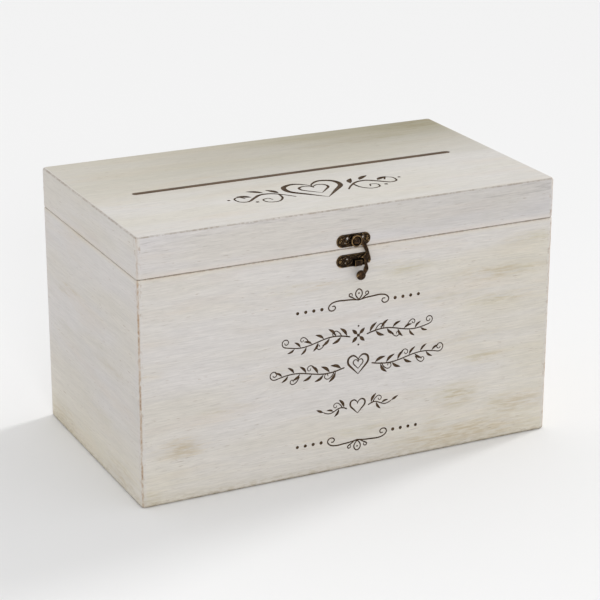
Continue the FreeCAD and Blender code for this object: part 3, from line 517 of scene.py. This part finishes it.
def relief(name, loops, keep, front, back, spacing, mat, extra=(), angle=48.0):
    """A closed body over a plane region: front and back give its y at each (x, z) point. The loops are exact edges; keep says what is solid."""
    pts, edges = [], []
    for loop in loops:
        n = len(pts)
        pts += [tuple(p) for p in loop]
        edges += [(n + i, n + (i + 1) % len(loop)) for i in range(len(loop))]
    every = np.array(pts)
    lo, hi = every.min(0), every.max(0)
    grid = []
    rows = int((hi[1] - lo[1]) / (spacing * 0.87)) + 2
    for j in range(rows):
        xs = np.arange(lo[0], hi[0], spacing) + (0.5 * spacing if j % 2 else 0.0)
        grid += [(x, lo[1] + j * spacing * 0.87) for x in xs]
    grid = np.array(grid + [tuple(p) for e in extra for p in e])
    away = np.full(len(grid), 1e9)
    for loop in loops:
        away = np.minimum(away, line_distance(grid, np.vstack([loop, loop[:1]])))
    grid = grid[keep(grid) & (away > spacing * 0.42)]
    co, _, tris, *_ = delaunay_2d_cdt([Vector(p) for p in [*pts, *map(tuple, grid)]], edges, [], 0, 1e-6)
    co = np.array([tuple(c) for c in co])
    tris = np.array([t for t in tris if len(t) == 3])
    tris = tris[keep(co[tris].mean(1))]
    count = {}
    for t in tris:
        for k in range(3):
            e = (t[k], t[(k + 1) % 3])
            count[e] = count.get(e, 0) + 1
    rim = [e for e in count if (e[1], e[0]) not in count]
    ends = np.array([[co[a], co[b]] for a, b in rim])
    used = sorted(set(tris.ravel()))
    place = {v: i for i, v in enumerate(used)}
    p = co[used]
    d = segment_distance(p, ends[:, 0], ends[:, 1])[0].min(1)
    yf, yb = front(p, d), back(p, d)
    n = len(used)
    verts = [(p[i, 0], yf[i], p[i, 1]) for i in range(n)] + [(p[i, 0], yb[i], p[i, 1]) for i in range(n)]
    faces = [tuple(place[v] for v in t) for t in tris] + [tuple(place[v] + n for v in reversed(t)) for t in tris]
    faces += [(place[b], place[a], place[a] + n, place[b] + n) for a, b in rim]
    return make(name, verts, faces, [mat], angle=angle)


def step(x, lo, hi):
    t = np.clip((x - lo) / (hi - lo), 0, 1)
    return t * t * (3 - 2 * t)


def rounded(d, r):
    """0 at the edge to 1 at depth r, as a quarter circle."""
    t = np.clip(d / r, 0, 1)
    return np.sqrt(np.maximum(0, 1 - (1 - t) ** 2))


def turned(name, cx, cz, profile, mat, n=56, angle=40.0):
    """A turned piece round the y axis through (cx, cz). profile is (radius, y) from one end to the other."""
    verts, faces, rings = [], [], []
    for r, y in profile:
        if r < 1e-6:
            rings.append([len(verts)])
            verts.append((cx, y, cz))
        else:
            rings.append(list(range(len(verts), len(verts) + n)))
            verts += [(cx + r * math.cos(2 * math.pi * i / n), y, cz + r * math.sin(2 * math.pi * i / n)) for i in range(n)]
    for a, b in zip(rings, rings[1:]):
        for i in range(n):
            j = (i + 1) % n
            if len(a) == 1:
                faces.append((a[0], b[j], b[i]))
            elif len(b) == 1:
                faces.append((a[i], a[j], b[0]))
            else:
                faces.append((a[i], a[j], b[j], b[i]))
    return make(name, verts, faces, [mat], angle=angle)


def join(name, parts):
    """Puts several meshes in one object."""
    bm = bmesh.new()
    mats = list(parts[0].data.materials)
    for o in parts:
        bm.from_mesh(o.data)
    mesh = bpy.data.meshes.new(name)
    for m in mats:
        mesh.materials.append(m)
    bm.to_mesh(mesh)
    bm.free()
    for o in parts:
        old = o.data
        bpy.data.objects.remove(o)
        bpy.data.meshes.remove(old)
    obj = bpy.data.objects.new(name, mesh)
    scene.collection.objects.link(obj)
    return obj


# ------------------------------------------------------------------ ornament
class Pen:
    """Collects engraved strokes on a plane: each is a row of small faces and a centre line with its half widths."""

    def __init__(self):
        self.points, self.faces, self.lines = [], [], []

    def _add(self, p):
        self.points.append((float(p[0]), float(p[1])))
        return len(self.points) - 1

    def stroke(self, pts, width, per=6, smooth=True):
        """width is a number or a function of 0..1 along the stroke, in mm."""
        c = spline(pts, per) if smooth else np.array(pts, float)
        seg = np.linalg.norm(np.diff(c, axis=0), axis=1)
        s = np.concatenate([[0], np.cumsum(seg)])
        n = max(3, int(s[-1] / 0.9))
        t = np.linspace(0, 1, n + 1)
        c = np.stack([np.interp(t * s[-1], s, c[:, k]) for k in (0, 1)], 1)
        w = np.array([width(v) if callable(width) else width for v in t]) / 2
        d = np.gradient(c, axis=0)
        d /= np.maximum(np.linalg.norm(d, axis=1), 1e-9)[:, None]
        nrm = np.stack([-d[:, 1], d[:, 0]], 1)
        # rounded ends
        c = np.vstack([c[0] - d[0] * w[0] * 0.9, c, c[-1] + d[-1] * w[-1] * 0.9])
        nrm = np.vstack([nrm[0], nrm, nrm[-1]])
        w = np.concatenate([[w[0] * 0.35], w, [w[-1] * 0.35]])
        left = [self._add(c[i] + nrm[i] * w[i]) for i in range(len(c))]
        mid = [self._add(c[i]) for i in range(len(c))]
        right = [self._add(c[i] - nrm[i] * w[i]) for i in range(len(c))]
        for i in range(len(c) - 1):
            self.faces.append([mid[i], mid[i + 1], left[i + 1], left[i]])
            self.faces.append([right[i], right[i + 1], mid[i + 1], mid[i]])
        self.lines.append((c, w))

    def dot(self, x, z, r, n=14):
        hub = self._add((x, z))
        ring = [self._add(p) for p in circle(x, z, r, n)]
        for i in range(n):
            self.faces.append([hub, ring[i], ring[(i + 1) % n]])
        self.lines.append((np.array([[x - 1e-3, z], [x + 1e-3, z]]), np.array([r, r])))

    def depth(self, p):
        """0 at the edge of a stroke to 1 on its centre line."""
        best = np.zeros(len(p))
        for c, w in self.lines:
            lo, hi = c.min(0) - w.max(), c.max(0) + w.max()
            near = np.where(((p >= lo) & (p <= hi)).all(1))[0]
            if len(near) == 0:
                continue
            d, t = segment_distance(p[near], c[:-1], c[1:])
            half = w[:-1] + (w[1:] - w[:-1]) * t
            best[near] = np.maximum(best[near], (1 - d / np.maximum(half, 1e-6)).max(1))
        return np.clip(best, 0, 1)


def taper(wide, thin=0.45, power=1.0):
    return lambda t: thin + (wide - thin) * max(0.0, math.sin(math.pi * min(max(t, 0.0), 1.0))) ** power


def leaf(pen, x, z, angle, length, wide, bend=0.12, stalk=0.14):
    """A solid leaf on a short stalk from its foot at (x, z), pointed at both ends."""
    a = math.radians(angle)
    u, v = np.array([math.cos(a), math.sin(a)]), np.array([-math.sin(a), math.cos(a)])
    o = np.array([x, z])
    blade = lambda t: 0.42 if t < stalk else 0.42 + (wide - 0.42) * math.sin(math.pi * ((t - stalk) / (1 - stalk)) ** 0.85) ** 0.9
    pen.stroke([o, o + u * length * 0.5 + v * length * bend, o + u * length], blade)


def spiral(cx, cz, r0, r1, a0, turns, n=14):
    t = np.linspace(0, 1, n)
    a = math.radians(a0) + turns * 2 * math.pi * t
    r = r0 + (r1 - r0) * t
    return [(cx + ri * math.cos(ai), cz + ri * math.sin(ai)) for ri, ai in zip(r, a)]


def mirrored(points, cx):
    return [(2 * cx - p[0], p[1]) for p in points]


def divider(pen, cx, cz, up=1.0):
    """A scroll with curled ends, a bud and two small loops over its middle, and four dots each side."""
    def at(pts):
        return [(cx + px, cz + up * pz) for px, pz in pts]

    arm = [(0.0, 1.6), (6.0, 2.6), (12.0, 3.0), (18.0, 3.3), (23.0, 2.2), (25.6, -0.6), (24.6, -3.2), (21.8, -3.8),
           (19.8, -2.2), (20.6, -0.2), (22.3, -0.3)]
    for side in (1, -1):
        a = [(side * px, pz) for px, pz in arm]
        pen.stroke(at(a), lambda t: 1.25 - 0.45 * abs(t - 0.35))
        curl = [(side * px, pz) for px, pz in [(1.8, 1.9), (5.2, 4.0), (8.2, 5.8), (7.6, 7.6), (5.6, 7.0), (5.9, 5.4)]]
        pen.stroke(at(curl), taper(1.15, 0.6))
        for k in range(4):
            pen.dot(cx + side * (31.2 + 6.75 * k), cz + up * (-1.4), 1.42 - 0.03 * k)
    bud = [(0, 2.0), (-2.6, 5.4), (-2.4, 8.6), (0, 10.4), (2.4, 8.6), (2.6, 5.4), (0, 2.0)]
    pen.stroke(at(bud), 1.05)
    pen.dot(cx, cz + up * 7.0, 0.75)


def heart(pen, cx, cz, size, wide=1.3):
    half = [(0.0, -0.52), (-0.30, -0.20), (-0.56, 0.10), (-0.54, 0.40), (-0.28, 0.52), (-0.05, 0.36), (0.0, 0.20)]
    for side in (1, -1):
        pen.stroke([(cx + side * px * size, cz + pz * size) for px, pz in half], taper(wide, 0.55))


def vine(pen, x0, x1, z0, height, pitch, length, wide, lean=40.0, waves=1, stem=0.95, curl=0.0):
    """A waving stem with slanted leaves either side from x0 to x1, ending in a last leaf or, with curl, in a spiral."""
    d = 1 if x1 > x0 else -1
    span = abs(x1 - x0)
    wave = lambda s: z0 + height * math.sin(s / span * math.pi * 2 * waves)
    pts = [(x0 + d * span * k / 24, wave(span * k / 24)) for k in range(25)]
    if curl:
        slope = (wave(span) - wave(span - 0.5)) / 0.5
        a = math.atan(slope)
        up = np.array([-math.sin(a), math.cos(a)])
        hub = np.array([span, wave(span)]) + up * curl
        for k in range(1, 15):
            t = k / 14
            ang = a - math.pi / 2 + t * math.pi * 2 * 1.2
            r = curl * (1 - 0.72 * t)
            pts.append((x0 + d * (hub[0] + r * math.cos(ang)), hub[1] + r * math.sin(ang)))
    pen.stroke(pts, lambda t: stem * (1.0 - 0.3 * t))
    count = int((span - 3) / pitch)
    for k in range(count):
        s = 2.0 + pitch * k
        x, z = x0 + d * s, wave(s)
        tilt = math.degrees(math.atan((wave(s + 0.3) - wave(s - 0.3)) / 0.6))
        shrink = 1.0 - 0.28 * (k / max(1, count - 1))
        up = 1 if k % 2 == 0 else -1
        a = tilt + up * (lean + (4 if k % 3 else -3))
        if d < 0:
            a = 180 - a
        leaf(pen, x, z, a, length * shrink, wide * shrink, 0.11 * up * d)
    if not curl:
        a = math.degrees(math.atan((wave(span) - wave(span - 0.5)) / 0.5))
        leaf(pen, x1, wave(span), a if d > 0 else 180 - a, length * 0.8, wide * 0.85, 0.0)


def tendril(pen, x, z, d, size, up=1, wide=0.95):
    """A thin curl off a stem."""
    pts = [(0, 0), (0.5, 0.75), (1.15, 1.15), (1.7, 0.85), (1.62, 0.35), (1.22, 0.30), (1.15, 0.62)]
    pen.stroke([(x + d * px * size, z + up * pz * size) for px, pz in pts], lambda t: wide * (1.0 - 0.3 * t))


def engrave(name, node, pen, axis, level, flip, mats, body, deep=0.62, wall=0.24, ends=None):
    """A copy of a CAD board with the pen's strokes cut into one flat face: axis is the face's normal axis, level its coordinate in mm."""
    src = NODES[node].data
    co = np.array([v.co for v in src.vertices]) / MM
    keys, ids, merged = {}, [], []
    for c in co:
        k = tuple(np.round(c, 4))
        if k not in keys:
            keys[k] = len(merged)
            merged.append(k)
        ids.append(keys[k])
    merged = np.array(merged)
    tris = [[ids[v] for v in p.vertices] for p in src.polygons]
    tris = [t for t in tris if len(set(t)) == len(t)]
    plane = [t for t in tris if all(abs(merged[v][axis] - level) < 2e-3 for v in t)]
    rest = [t for t in tris if not all(abs(merged[v][axis] - level) < 2e-3 for v in t)]
    uv = [i for i in range(3) if i != axis]
    edge = {}
    for t in plane:
        for k in range(len(t)):
            e = (t[k], t[(k + 1) % len(t)])
            edge[e] = 1
    rim = [e for e in edge if (e[1], e[0]) not in edge]
    used = sorted({v for e in rim for v in e})
    place = {v: i for i, v in enumerate(used)}
    pts = [Vector(merged[v][uv]) for v in used]
    base = len(pts)
    pts += [Vector(p) for p in pen.points]
    rim2 = [(place[a], place[b]) for a, b in rim]
    out, _, faces, _, _, origin = delaunay_2d_cdt(pts, rim2, [[base + v for v in f] for f in pen.faces], 0, 1e-5)
    out = np.array([tuple(c) for c in out])
    border = np.array([[merged[a][uv], merged[b][uv]] for a, b in rim])
    mids = np.array([out[list(f)].mean(0) for f in faces])
    # even-odd against the face's own outline, so the slot stays open
    px, py = mids[:, 0, None], mids[:, 1, None]
    a, b = border[:, 0], border[:, 1]
    cross = (a[:, 1] > py) != (b[:, 1] > py)
    with np.errstate(divide="ignore", invalid="ignore"):
        at = (b[:, 0] - a[:, 0]) * (py - a[:, 1]) / (b[:, 1] - a[:, 1]) + a[:, 0]
    solid = (cross & (px < at)).sum(1) % 2 == 1
    area = np.array([abs(np.cross(out[f[1]] - out[f[0]], out[f[2]] - out[f[0]])) for f in faces])
    cut = np.array([len(o) > 0 for o in origin]) & solid
    depth = pen.depth(out)
    low = level + flip * (wall + (deep - wall) * np.sqrt(depth))

    def lift(i, y):
        v = [0.0, 0.0, 0.0]
        v[uv[0]], v[uv[1]], v[axis] = out[i][0], out[i][1], y
        return v

    verts = [list(v) for v in merged]
    top = len(verts)
    verts += [lift(i, level) for i in range(len(out))]
    under = len(verts)
    verts += [lift(i, low[i]) for i in range(len(out))]
    new, index = [list(t) for t in rest], [0] * len(rest)
    side = {}
    for f, s, c, ar in zip(faces, solid, cut, area):
        if not s:
            continue
        f = list(f)
        o = under if c else top
        new.append([o + v for v in f])
        index.append(1 if c else 0)
        for k in range(3):
            side[(f[k], f[(k + 1) % 3])] = c
    for (i, j), c in side.items():
        if c and (j, i) in side and not side[(j, i)]:
            new.append([under + i, under + j, top + j, top + i])
            index.append(1)
    if ends is not None:
        for i, f in enumerate(new[: len(rest)]):
            fx = np.array([verts[v] for v in f])[:, 0]
            if fx.min() > ends or fx.max() < -ends:
                index[i] = 2
    obj = make(name, verts, new, mats, index, angle=35.0,
               flat=lambda p: max(abs(c) for c in p.normal) > 0.99995 or p.material_index == 1)
    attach(obj, body)
    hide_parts(node)
    return obj


CX = 4.3  # the ornament's own centre line on the front
pen = Pen()
divider(pen, CX, 136.0, 1.0)
divider(pen, CX, 24.2, -1.0)
# first row: two sprigs that grow outward from a bud
for d in (-1, 1):
    vine(pen, CX + d * 7.5, CX + d * 62.0, 109.0, 2.3, 4.9, 9.6, 2.5, stem=1.15, curl=3.6)
    for k, (s, u) in enumerate(((14.0, 1), (28.0, -1), (42.0, 1))):
        tendril(pen, CX + d * s, 109.0 + 1.2 * u, d, 4.6 - 0.3 * k, u)
for a in (45, 135, 225, 315):
    leaf(pen, CX, 109.0, a, 7.4, 2.9, 0.0, 0.22)
pen.dot(CX, 109.0, 1.25)
for u in (-1, 1):
    pen.dot(CX, 109.0 + 7.6 * u, 0.8)
# second row: a heart between two longer sprigs
heart(pen, CX, 85.2, 15.0, 1.8)
heart(pen, CX, 85.6, 7.2, 1.0)
for d in (-1, 1):
    vine(pen, CX + d * 12.0, CX + d * 70.0, 84.4, -2.2, 5.0, 10.2, 2.6, stem=1.15, curl=4.0)
    for k, (s, u) in enumerate(((20.0, -1), (35.0, 1), (50.0, -1))):
        tendril(pen, CX + d * s, 84.4 + 1.2 * u, d, 5.0 - 0.3 * k, u)
# third row: a small heart and two short sprigs
heart(pen, CX, 50.6, 11.0, 1.5)
for d in (-1, 1):
    vine(pen, CX + d * 9.5, CX + d * 29.0, 50.2, 1.6, 4.5, 8.6, 2.4, stem=1.1)
    tendril(pen, CX + d * 13.0, 51.4, d, 4.4, 1)
front = engrave("front_panel_engraved", "front_panel", pen, 1, FRONT_Y, 1, [WOOD_X, BURNT], "box_base")

LX, LY = -6.0, -49.0
pen = Pen()
heart(pen, LX, LY, 39.0, 4.2)
heart(pen, LX, LY + 1.5, 20.0, 2.2)
for d in (-1, 1):
    def out(pts):
        return [(LX + d * px, LY + py) for px, py in pts]

    pen.stroke(out([(22.5, -9.0), (28.0, -2.0), (36.0, 5.0), (45.0, 6.0), (53.0, 0.0), (60.0, -6.0), (66.5, -4.0), (67.5, 4.0), (62.5, 7.0), (59.5, 2.5)]),
               lambda t: 1.5 + 1.3 * math.sin(math.pi * min(1.0, t * 1.25)) ** 2)
    pen.stroke(out([(31.5, 1.0), (33.0, -8.0), (39.0, -14.5), (47.0, -13.0), (48.5, -6.5), (43.5, -4.5), (41.5, -8.5)]),
               lambda t: 1.9 - 0.7 * t)
    for px, py, ang, long in ((30.5, 4.0, 62, 13.0), (41.0, 9.5, 38, 13.5), (53.5, 3.0, 30, 12.0)):
        leaf(pen, LX + d * px, LY + py, ang if d > 0 else 180 - ang, long, 4.4, 0.08 * d, 0.05)
    pen.dot(LX + d * 54.5, LY - 9.5, 1.5)
    pen.dot(LX + d * 72.5, LY + 3.0, 1.3)
lid_top = engrave("lid_top_engraved", "lid_top_panel", pen, 2, TOP_Z, -1, [WOOD_X, BURNT, WOOD_Y], "lid", deep=0.9, wall=0.35, ends=171.9)


# ------------------------------------------------------------------ latch
def stadium(cx, cz, length, height, n=26):
    r, h = height / 2, length / 2 - height / 2
    a = np.linspace(-math.pi / 2, math.pi / 2, n)
    right = np.stack([cx + h + r * np.cos(a), cz + r * np.sin(a)], 1)
    left = np.stack([cx - h - r * np.cos(a), cz - r * np.sin(a)], 1)
    return np.vstack([right, left])


def diamond(cx, cz, w, h):
    corners = np.array([(cx + w, cz), (cx, cz + h), (cx - w, cz), (cx, cz - h)])
    out = []
    for i in range(4):
        a, b = corners[i], corners[(i + 1) % 4]
        for t in (0.06, 0.35, 0.65, 0.94):
            out.append(a + (b - a) * t)
    return np.array(out)


def plate(name, node, body, boss=None, lug=None, pierced=()):
    """A cast plate with a raised rim, scrollwork in its field and pierced diamonds, over the CAD plate's own outline."""
    lo, hi = box_mm(node)
    cx, cz = (lo[0] + hi[0]) / 2, (lo[2] + hi[2]) / 2
    back_y = hi[1]
    outline = stadium(cx, cz, hi[0] - lo[0], 10.0)
    holes = [diamond(cx + px, cz + pz, pw, ph) for px, pz, pw, ph in pierced]

    def keep(p):
        k = inside(p, outline)
        for h in holes:
            k &= ~inside(p, h)
        return k

    scrolls = []
    for sx in (1, -1):
        scrolls.append(spline([(cx + sx * 8.6, cz + 2.2), (cx + sx * 6.6, cz + 3.2), (cx + sx * 4.2, cz + 1.6),
                               (cx + sx * 4.0, cz - 0.8), (cx + sx * 5.6, cz - 1.9), (cx + sx * 6.8, cz - 0.6),
                               (cx + sx * 5.8, cz + 0.4)], 6))
        scrolls.append(spline([(cx + sx * 8.8, cz - 2.4), (cx + sx * 6.4, cz - 3.4), (cx + sx * 3.2, cz - 3.0),
                               (cx + sx * 1.2, cz - 1.4), (cx + sx * 1.4, cz + 0.6), (cx + sx * 2.8, cz + 0.6)], 6))
        scrolls.append(spline([(cx + sx * 0.2, cz + 3.1), (cx + sx * 2.4, cz + 3.3), (cx + sx * 3.0, cz + 2.2)], 6))
    nails = [(cx - 11.2, cz), (cx + 11.2, cz)]

    def front_at(p, d):
        h = 0.20 + 0.26 * rounded(d, 0.35)
        h = h + 0.34 * np.exp(-(((d - 0.62) / 0.42) ** 2))
        field = step(d, 1.0, 1.4)
        for s in scrolls:
            h = np.maximum(h, 0.42 + 0.36 * field * (1 - step(line_distance(p, s), 0.12, 0.52)))
        for nx, nz in nails:
            r = np.hypot(p[:, 0] - nx, p[:, 1] - nz)
            h = np.maximum(h, 0.42 + 0.36 * np.exp(-(((r - 2.35) / 0.38) ** 2)))
            h = np.where(r < 1.9, np.minimum(h, 0.44), h)
        if boss:
            r = np.hypot(p[:, 0] - boss[0], p[:, 1] - boss[1])
            h = np.maximum(h, 1.38 - 0.95 * step(r, 2.75, 3.35))
        if lug:
            x0, x1, z0, z1, up = lug
            q = np.maximum(np.maximum(x0 - p[:, 0], p[:, 0] - x1), np.maximum(z0 - p[:, 1], p[:, 1] - z1))
            h = np.maximum(h, 0.42 + (up - 0.42) * (1 - step(q, -0.34, 0.02)) + 0.30 * rounded(-q, 2.4) * (q < 0))
        return back_y - h

    extra = []
    for s in scrolls:
        extra.append(s[::2])
    obj = relief(name, [outline, *holes], keep, front_at, lambda p, d: np.full(len(p), back_y), 0.24, BRONZE, extra)
    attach(obj, body)
    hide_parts(node)
    return obj


rivet_lo, rivet_hi = box_mm("latch_pivot_rivet")
PX, PZ = (rivet_lo[0] + rivet_hi[0]) / 2, (rivet_lo[2] + rivet_hi[2]) / 2
plate("latch_upper_plate_cast", "latch_lid_plate", "lid", boss=(PX, PZ),
      pierced=[(-5.2, 1.7, 1.05, 1.35), (7.9, 1.4, 0.95, 1.25), (-7.1, -1.7, 0.55, 0.6)])
plate("latch_lower_plate_cast", "latch_catch_plate", "box_base", lug=(PX - 1.7, PX + 4.7, 165.5, 170.9, 3.38),
      pierced=[(-5.2, 1.2, 0.7, 0.8), (-6.6, -1.6, 0.5, 0.6)])

# the swing hook, from its eye down to the knob
hook_lo, hook_hi = box_mm("latch_hook")
KR = 3.85
KX, KZ = PX + 2.1, hook_lo[2] + KR
KNOB_Y, KNOB_RY = hook_lo[1] + 2.7, 2.7
outer = [(5.8, 0.94), (8.2, -3.22), (9.9, -7.18), (10.8, -10.50), (11.8, -13.62), (12.2, -16.22), (11.4, -18.10), (10.1, -18.82)]
spur = [(10.6, -17.37), (10.5, -15.91), (9.6, -14.98), (8.9, -16.02), (9.0, -17.78), (9.1, -19.45), (8.8, -21.94), (8.3, -24.23), (7.1, -26.60)]
foot = [(4.4, -27.40), (4.5, -23.20), (5.0, -21.42)]
throat = [(5.6, -20.75), (6.5, -19.86), (6.7, -17.68), (6.5, -15.39), (5.6, -14.30), (4.1, -13.83)]
jaw = [(4.9, -12.90), (6.4, -12.06), (7.5, -10.61), (7.5, -9.05), (6.6, -7.38), (5.4, -5.30)]
EYE = 4.7


def on_eye(deg):
    return (EYE * math.cos(math.radians(deg)), EYE * math.sin(math.radians(deg)))


shape = [tuple(p) for p in spline([on_eye(40), *outer], 6)]
shape += [tuple(p) for p in spline([outer[-1], *spur], 5)[1:]]
shape += foot
shape += [tuple(p) for p in spline([foot[-1], *throat], 5)[1:]]
shape += [tuple(p) for p in spline([throat[-1], *jaw, on_eye(-38)], 5)[1:]]
shape += [on_eye(a) for a in np.linspace(-38, -320, 62)[1:-1]]
shape = np.array(shape) + (PX, PZ)
shape[:, 0] -= 1.5 * (1 - step(shape[:, 1], 160.6, 165.0))  # the neck runs into the knob
knob = circle(KX, KZ, KR, 64)
HOOK_FRONT, HOOK_BACK = rivet_lo[1] + 1.65, rivet_lo[1] + 3.25


def in_hook(p):
    return inside(p, shape) | (np.hypot(p[:, 0] - KX, p[:, 1] - KZ) < KR)


def hook_faces(p, d):
    mid = np.full(len(p), (HOOK_FRONT + HOOK_BACK) / 2)
    lift = 1 - step(p[:, 1], KZ + 2.6, KZ + 8.6)
    mid = mid + (KNOB_Y - mid) * lift
    half = 0.16 + 0.64 * rounded(d, 0.95)
    r = np.hypot(p[:, 0] - PX, p[:, 1] - PZ)
    ring = (0.42 * np.exp(-(((r - 4.05) / 0.40) ** 2)) - 0.55 * np.exp(-(((r - 3.05) / 0.40) ** 2))) * (r < EYE + 0.5)
    shank = 0.16 * step(d, 0.7, 1.5) * (r > EYE)
    front_y, back_y = mid - half - ring - shank, mid + half
    rk = np.hypot(p[:, 0] - KX, p[:, 1] - KZ)
    bulge = KNOB_RY * np.sqrt(np.maximum(0, 1 - np.minimum(rk / KR, 1) ** 2))
    isin = rk < KR - 1e-3
    front_y = np.where(isin, np.minimum(KNOB_Y - bulge, np.where(inside(p, shape), front_y, 1e3)), front_y)
    back_y = np.where(isin, np.maximum(KNOB_Y + bulge, np.where(inside(p, shape), back_y, -1e3)), back_y)
    rim = (np.abs(rk - KR) < 2e-3) & ~inside(p, shape)
    front_y = np.where(rim, KNOB_Y - 0.05, front_y)
    back_y = np.where(rim, KNOB_Y + 0.05, back_y)
    return front_y, back_y


rings = [circle(KX, KZ, KR * k, 60, 0.05 * i) for i, k in enumerate((0.985, 0.95, 0.90, 0.83))]
hook = relief("latch_hook_cast", [shape, knob], in_hook, lambda p, d: hook_faces(p, d)[0], lambda p, d: hook_faces(p, d)[1],
              0.27, WARM_BRONZE, rings, angle=55.0)
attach(hook, "latch_hook")
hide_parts("latch_hook")

# the pivot rivet: a domed head on its shank
y0, y1 = rivet_lo[1], rivet_hi[1]
head = [(0.0, y0), (0.4, y0 + 0.01), (0.9, y0 + 0.08), (1.4, y0 + 0.24), (1.8, y0 + 0.46), (2.1, y0 + 0.72), (2.35, y0 + 1.05), (2.5, y0 + 1.4),
        (2.5, y0 + 1.62), (1.5, y0 + 1.72), (1.5, y1 - 0.3), (1.2, y1), (0.0, y1)]
rivet = turned("latch_rivet_domed", PX, PZ, head, WARM_BRONZE, angle=50.0)
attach(rivet, "lid")
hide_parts("latch_pivot_rivet")


def nails(name, node, plate_node, body):
    lo, hi = box_mm(node)
    plo, phi = box_mm(plate_node)
    cz = (lo[2] + hi[2]) / 2
    parts = []
    for k, cx in enumerate((lo[0] + 1.3, hi[0] - 1.3)):
        prof = [(0.0, lo[1]), (0.4, lo[1] + 0.03), (0.8, lo[1] + 0.14), (1.1, lo[1] + 0.3), (1.28, lo[1] + 0.5), (1.3, lo[1] + 0.72),
                (1.1, lo[1] + 0.8), (0.6, lo[1] + 0.82), (0.55, hi[1] - 1.2), (0.0, hi[1])]
        parts.append(turned(f"{name}_{k}", cx, cz, prof, BRONZE, 28))
    obj = join(name, parts)
    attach(obj, body)
    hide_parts(node)


nails("latch_upper_nails_domed", "latch_lid_nails", "latch_lid_plate", "lid")
nails("latch_lower_nails_domed", "latch_catch_nails", "latch_catch_plate", "box_base")


# ------------------------------------------------------------------ floor, light and camera
def floor():
    g = Graph("pale_floor")
    g.bsdf.inputs["Base Color"].default_value = (0.86, 0.86, 0.86, 1)
    g.bsdf.inputs["Roughness"].default_value = 0.9
    g.bsdf.inputs["Specular IOR Level"].default_value = 0.0
    mesh = bpy.data.meshes.new("studio_floor")
    s = 30.0
    mesh.from_pydata([(-s, -s, 0), (s, -s, 0), (s, s, 0), (-s, s, 0)], [], [(0, 1, 2, 3)])
    mesh.materials.append(g.mat)
    obj = bpy.data.objects.new("studio_floor", mesh)
    scene.collection.objects.link(obj)


floor()

world = bpy.data.worlds.new("studio")
scene.world = world
world.use_nodes = True
wt = world.node_tree
back = wt.nodes["Background"]
back.inputs["Color"].default_value = (1.0, 1.0, 1.0, 1)
# a studio whose low front and left stand a little darker, so that metal has something to reflect
way = wt.nodes.new("ShaderNodeTexCoord").outputs["Generated"]
dot = wt.nodes.new("ShaderNodeVectorMath")
dot.operation = "DOT_PRODUCT"
wt.links.new(way, dot.inputs[0])
dot.inputs[1].default_value = (-0.42, -0.90, -0.10)
dim = wt.nodes.new("ShaderNodeMapRange")
dim.interpolation_type = "SMOOTHSTEP"
wt.links.new(dot.outputs["Value"], dim.inputs["Value"])
for k, v in (("From Min", 0.35), ("From Max", 0.98), ("To Min", 0.87), ("To Max", 0.36)):
    dim.inputs[k].default_value = v
wt.links.new(dim.outputs["Result"], back.inputs["Strength"])


def sun(name, azimuth, elevation, strength, angle):
    """A soft directional light. Azimuth 0 shines from +X, 90 from +Y."""
    d = bpy.data.lights.new(name, "SUN")
    d.energy, d.angle = strength, math.radians(angle)
    o = bpy.data.objects.new(name, d)
    a, e = math.radians(azimuth), math.radians(elevation)
    v = Vector((math.cos(a) * math.cos(e), math.sin(a) * math.cos(e), math.sin(e)))
    o.rotation_mode = "QUATERNION"
    o.rotation_quaternion = v.to_track_quat("Z", "Y")
    scene.collection.objects.link(o)


def softbox(name, where, aim, size, power):
    d = bpy.data.lights.new(name, "AREA")
    d.shape, d.size, d.energy = "SQUARE", size, power
    o = bpy.data.objects.new(name, d)
    o.location = where
    o.rotation_mode = "QUATERNION"
    o.rotation_quaternion = (Vector(where) - Vector(aim)).to_track_quat("Z", "Y")
    scene.collection.objects.link(o)


sun("key", 14.0, 24.0, 1.5, 12.5)
softbox("fill_front", (-0.75, -2.9, 1.25), (0.0, 0.0, 0.12), 0.7, 17.0)

cam = bpy.data.cameras.new("camera")
cam.sensor_width = 36.0
cam.lens = 124.97571829
cam.clip_start, cam.clip_end = 0.05, 60.0
camera = bpy.data.objects.new("camera", cam)
camera.location = (-0.68419, -1.41177, 0.67253)
camera.rotation_mode = "QUATERNION"
camera.rotation_quaternion = Quaternion((0.797787, 0.5596576, -0.1297554, -0.1829832))
scene.collection.objects.link(camera)
scene.camera = camera
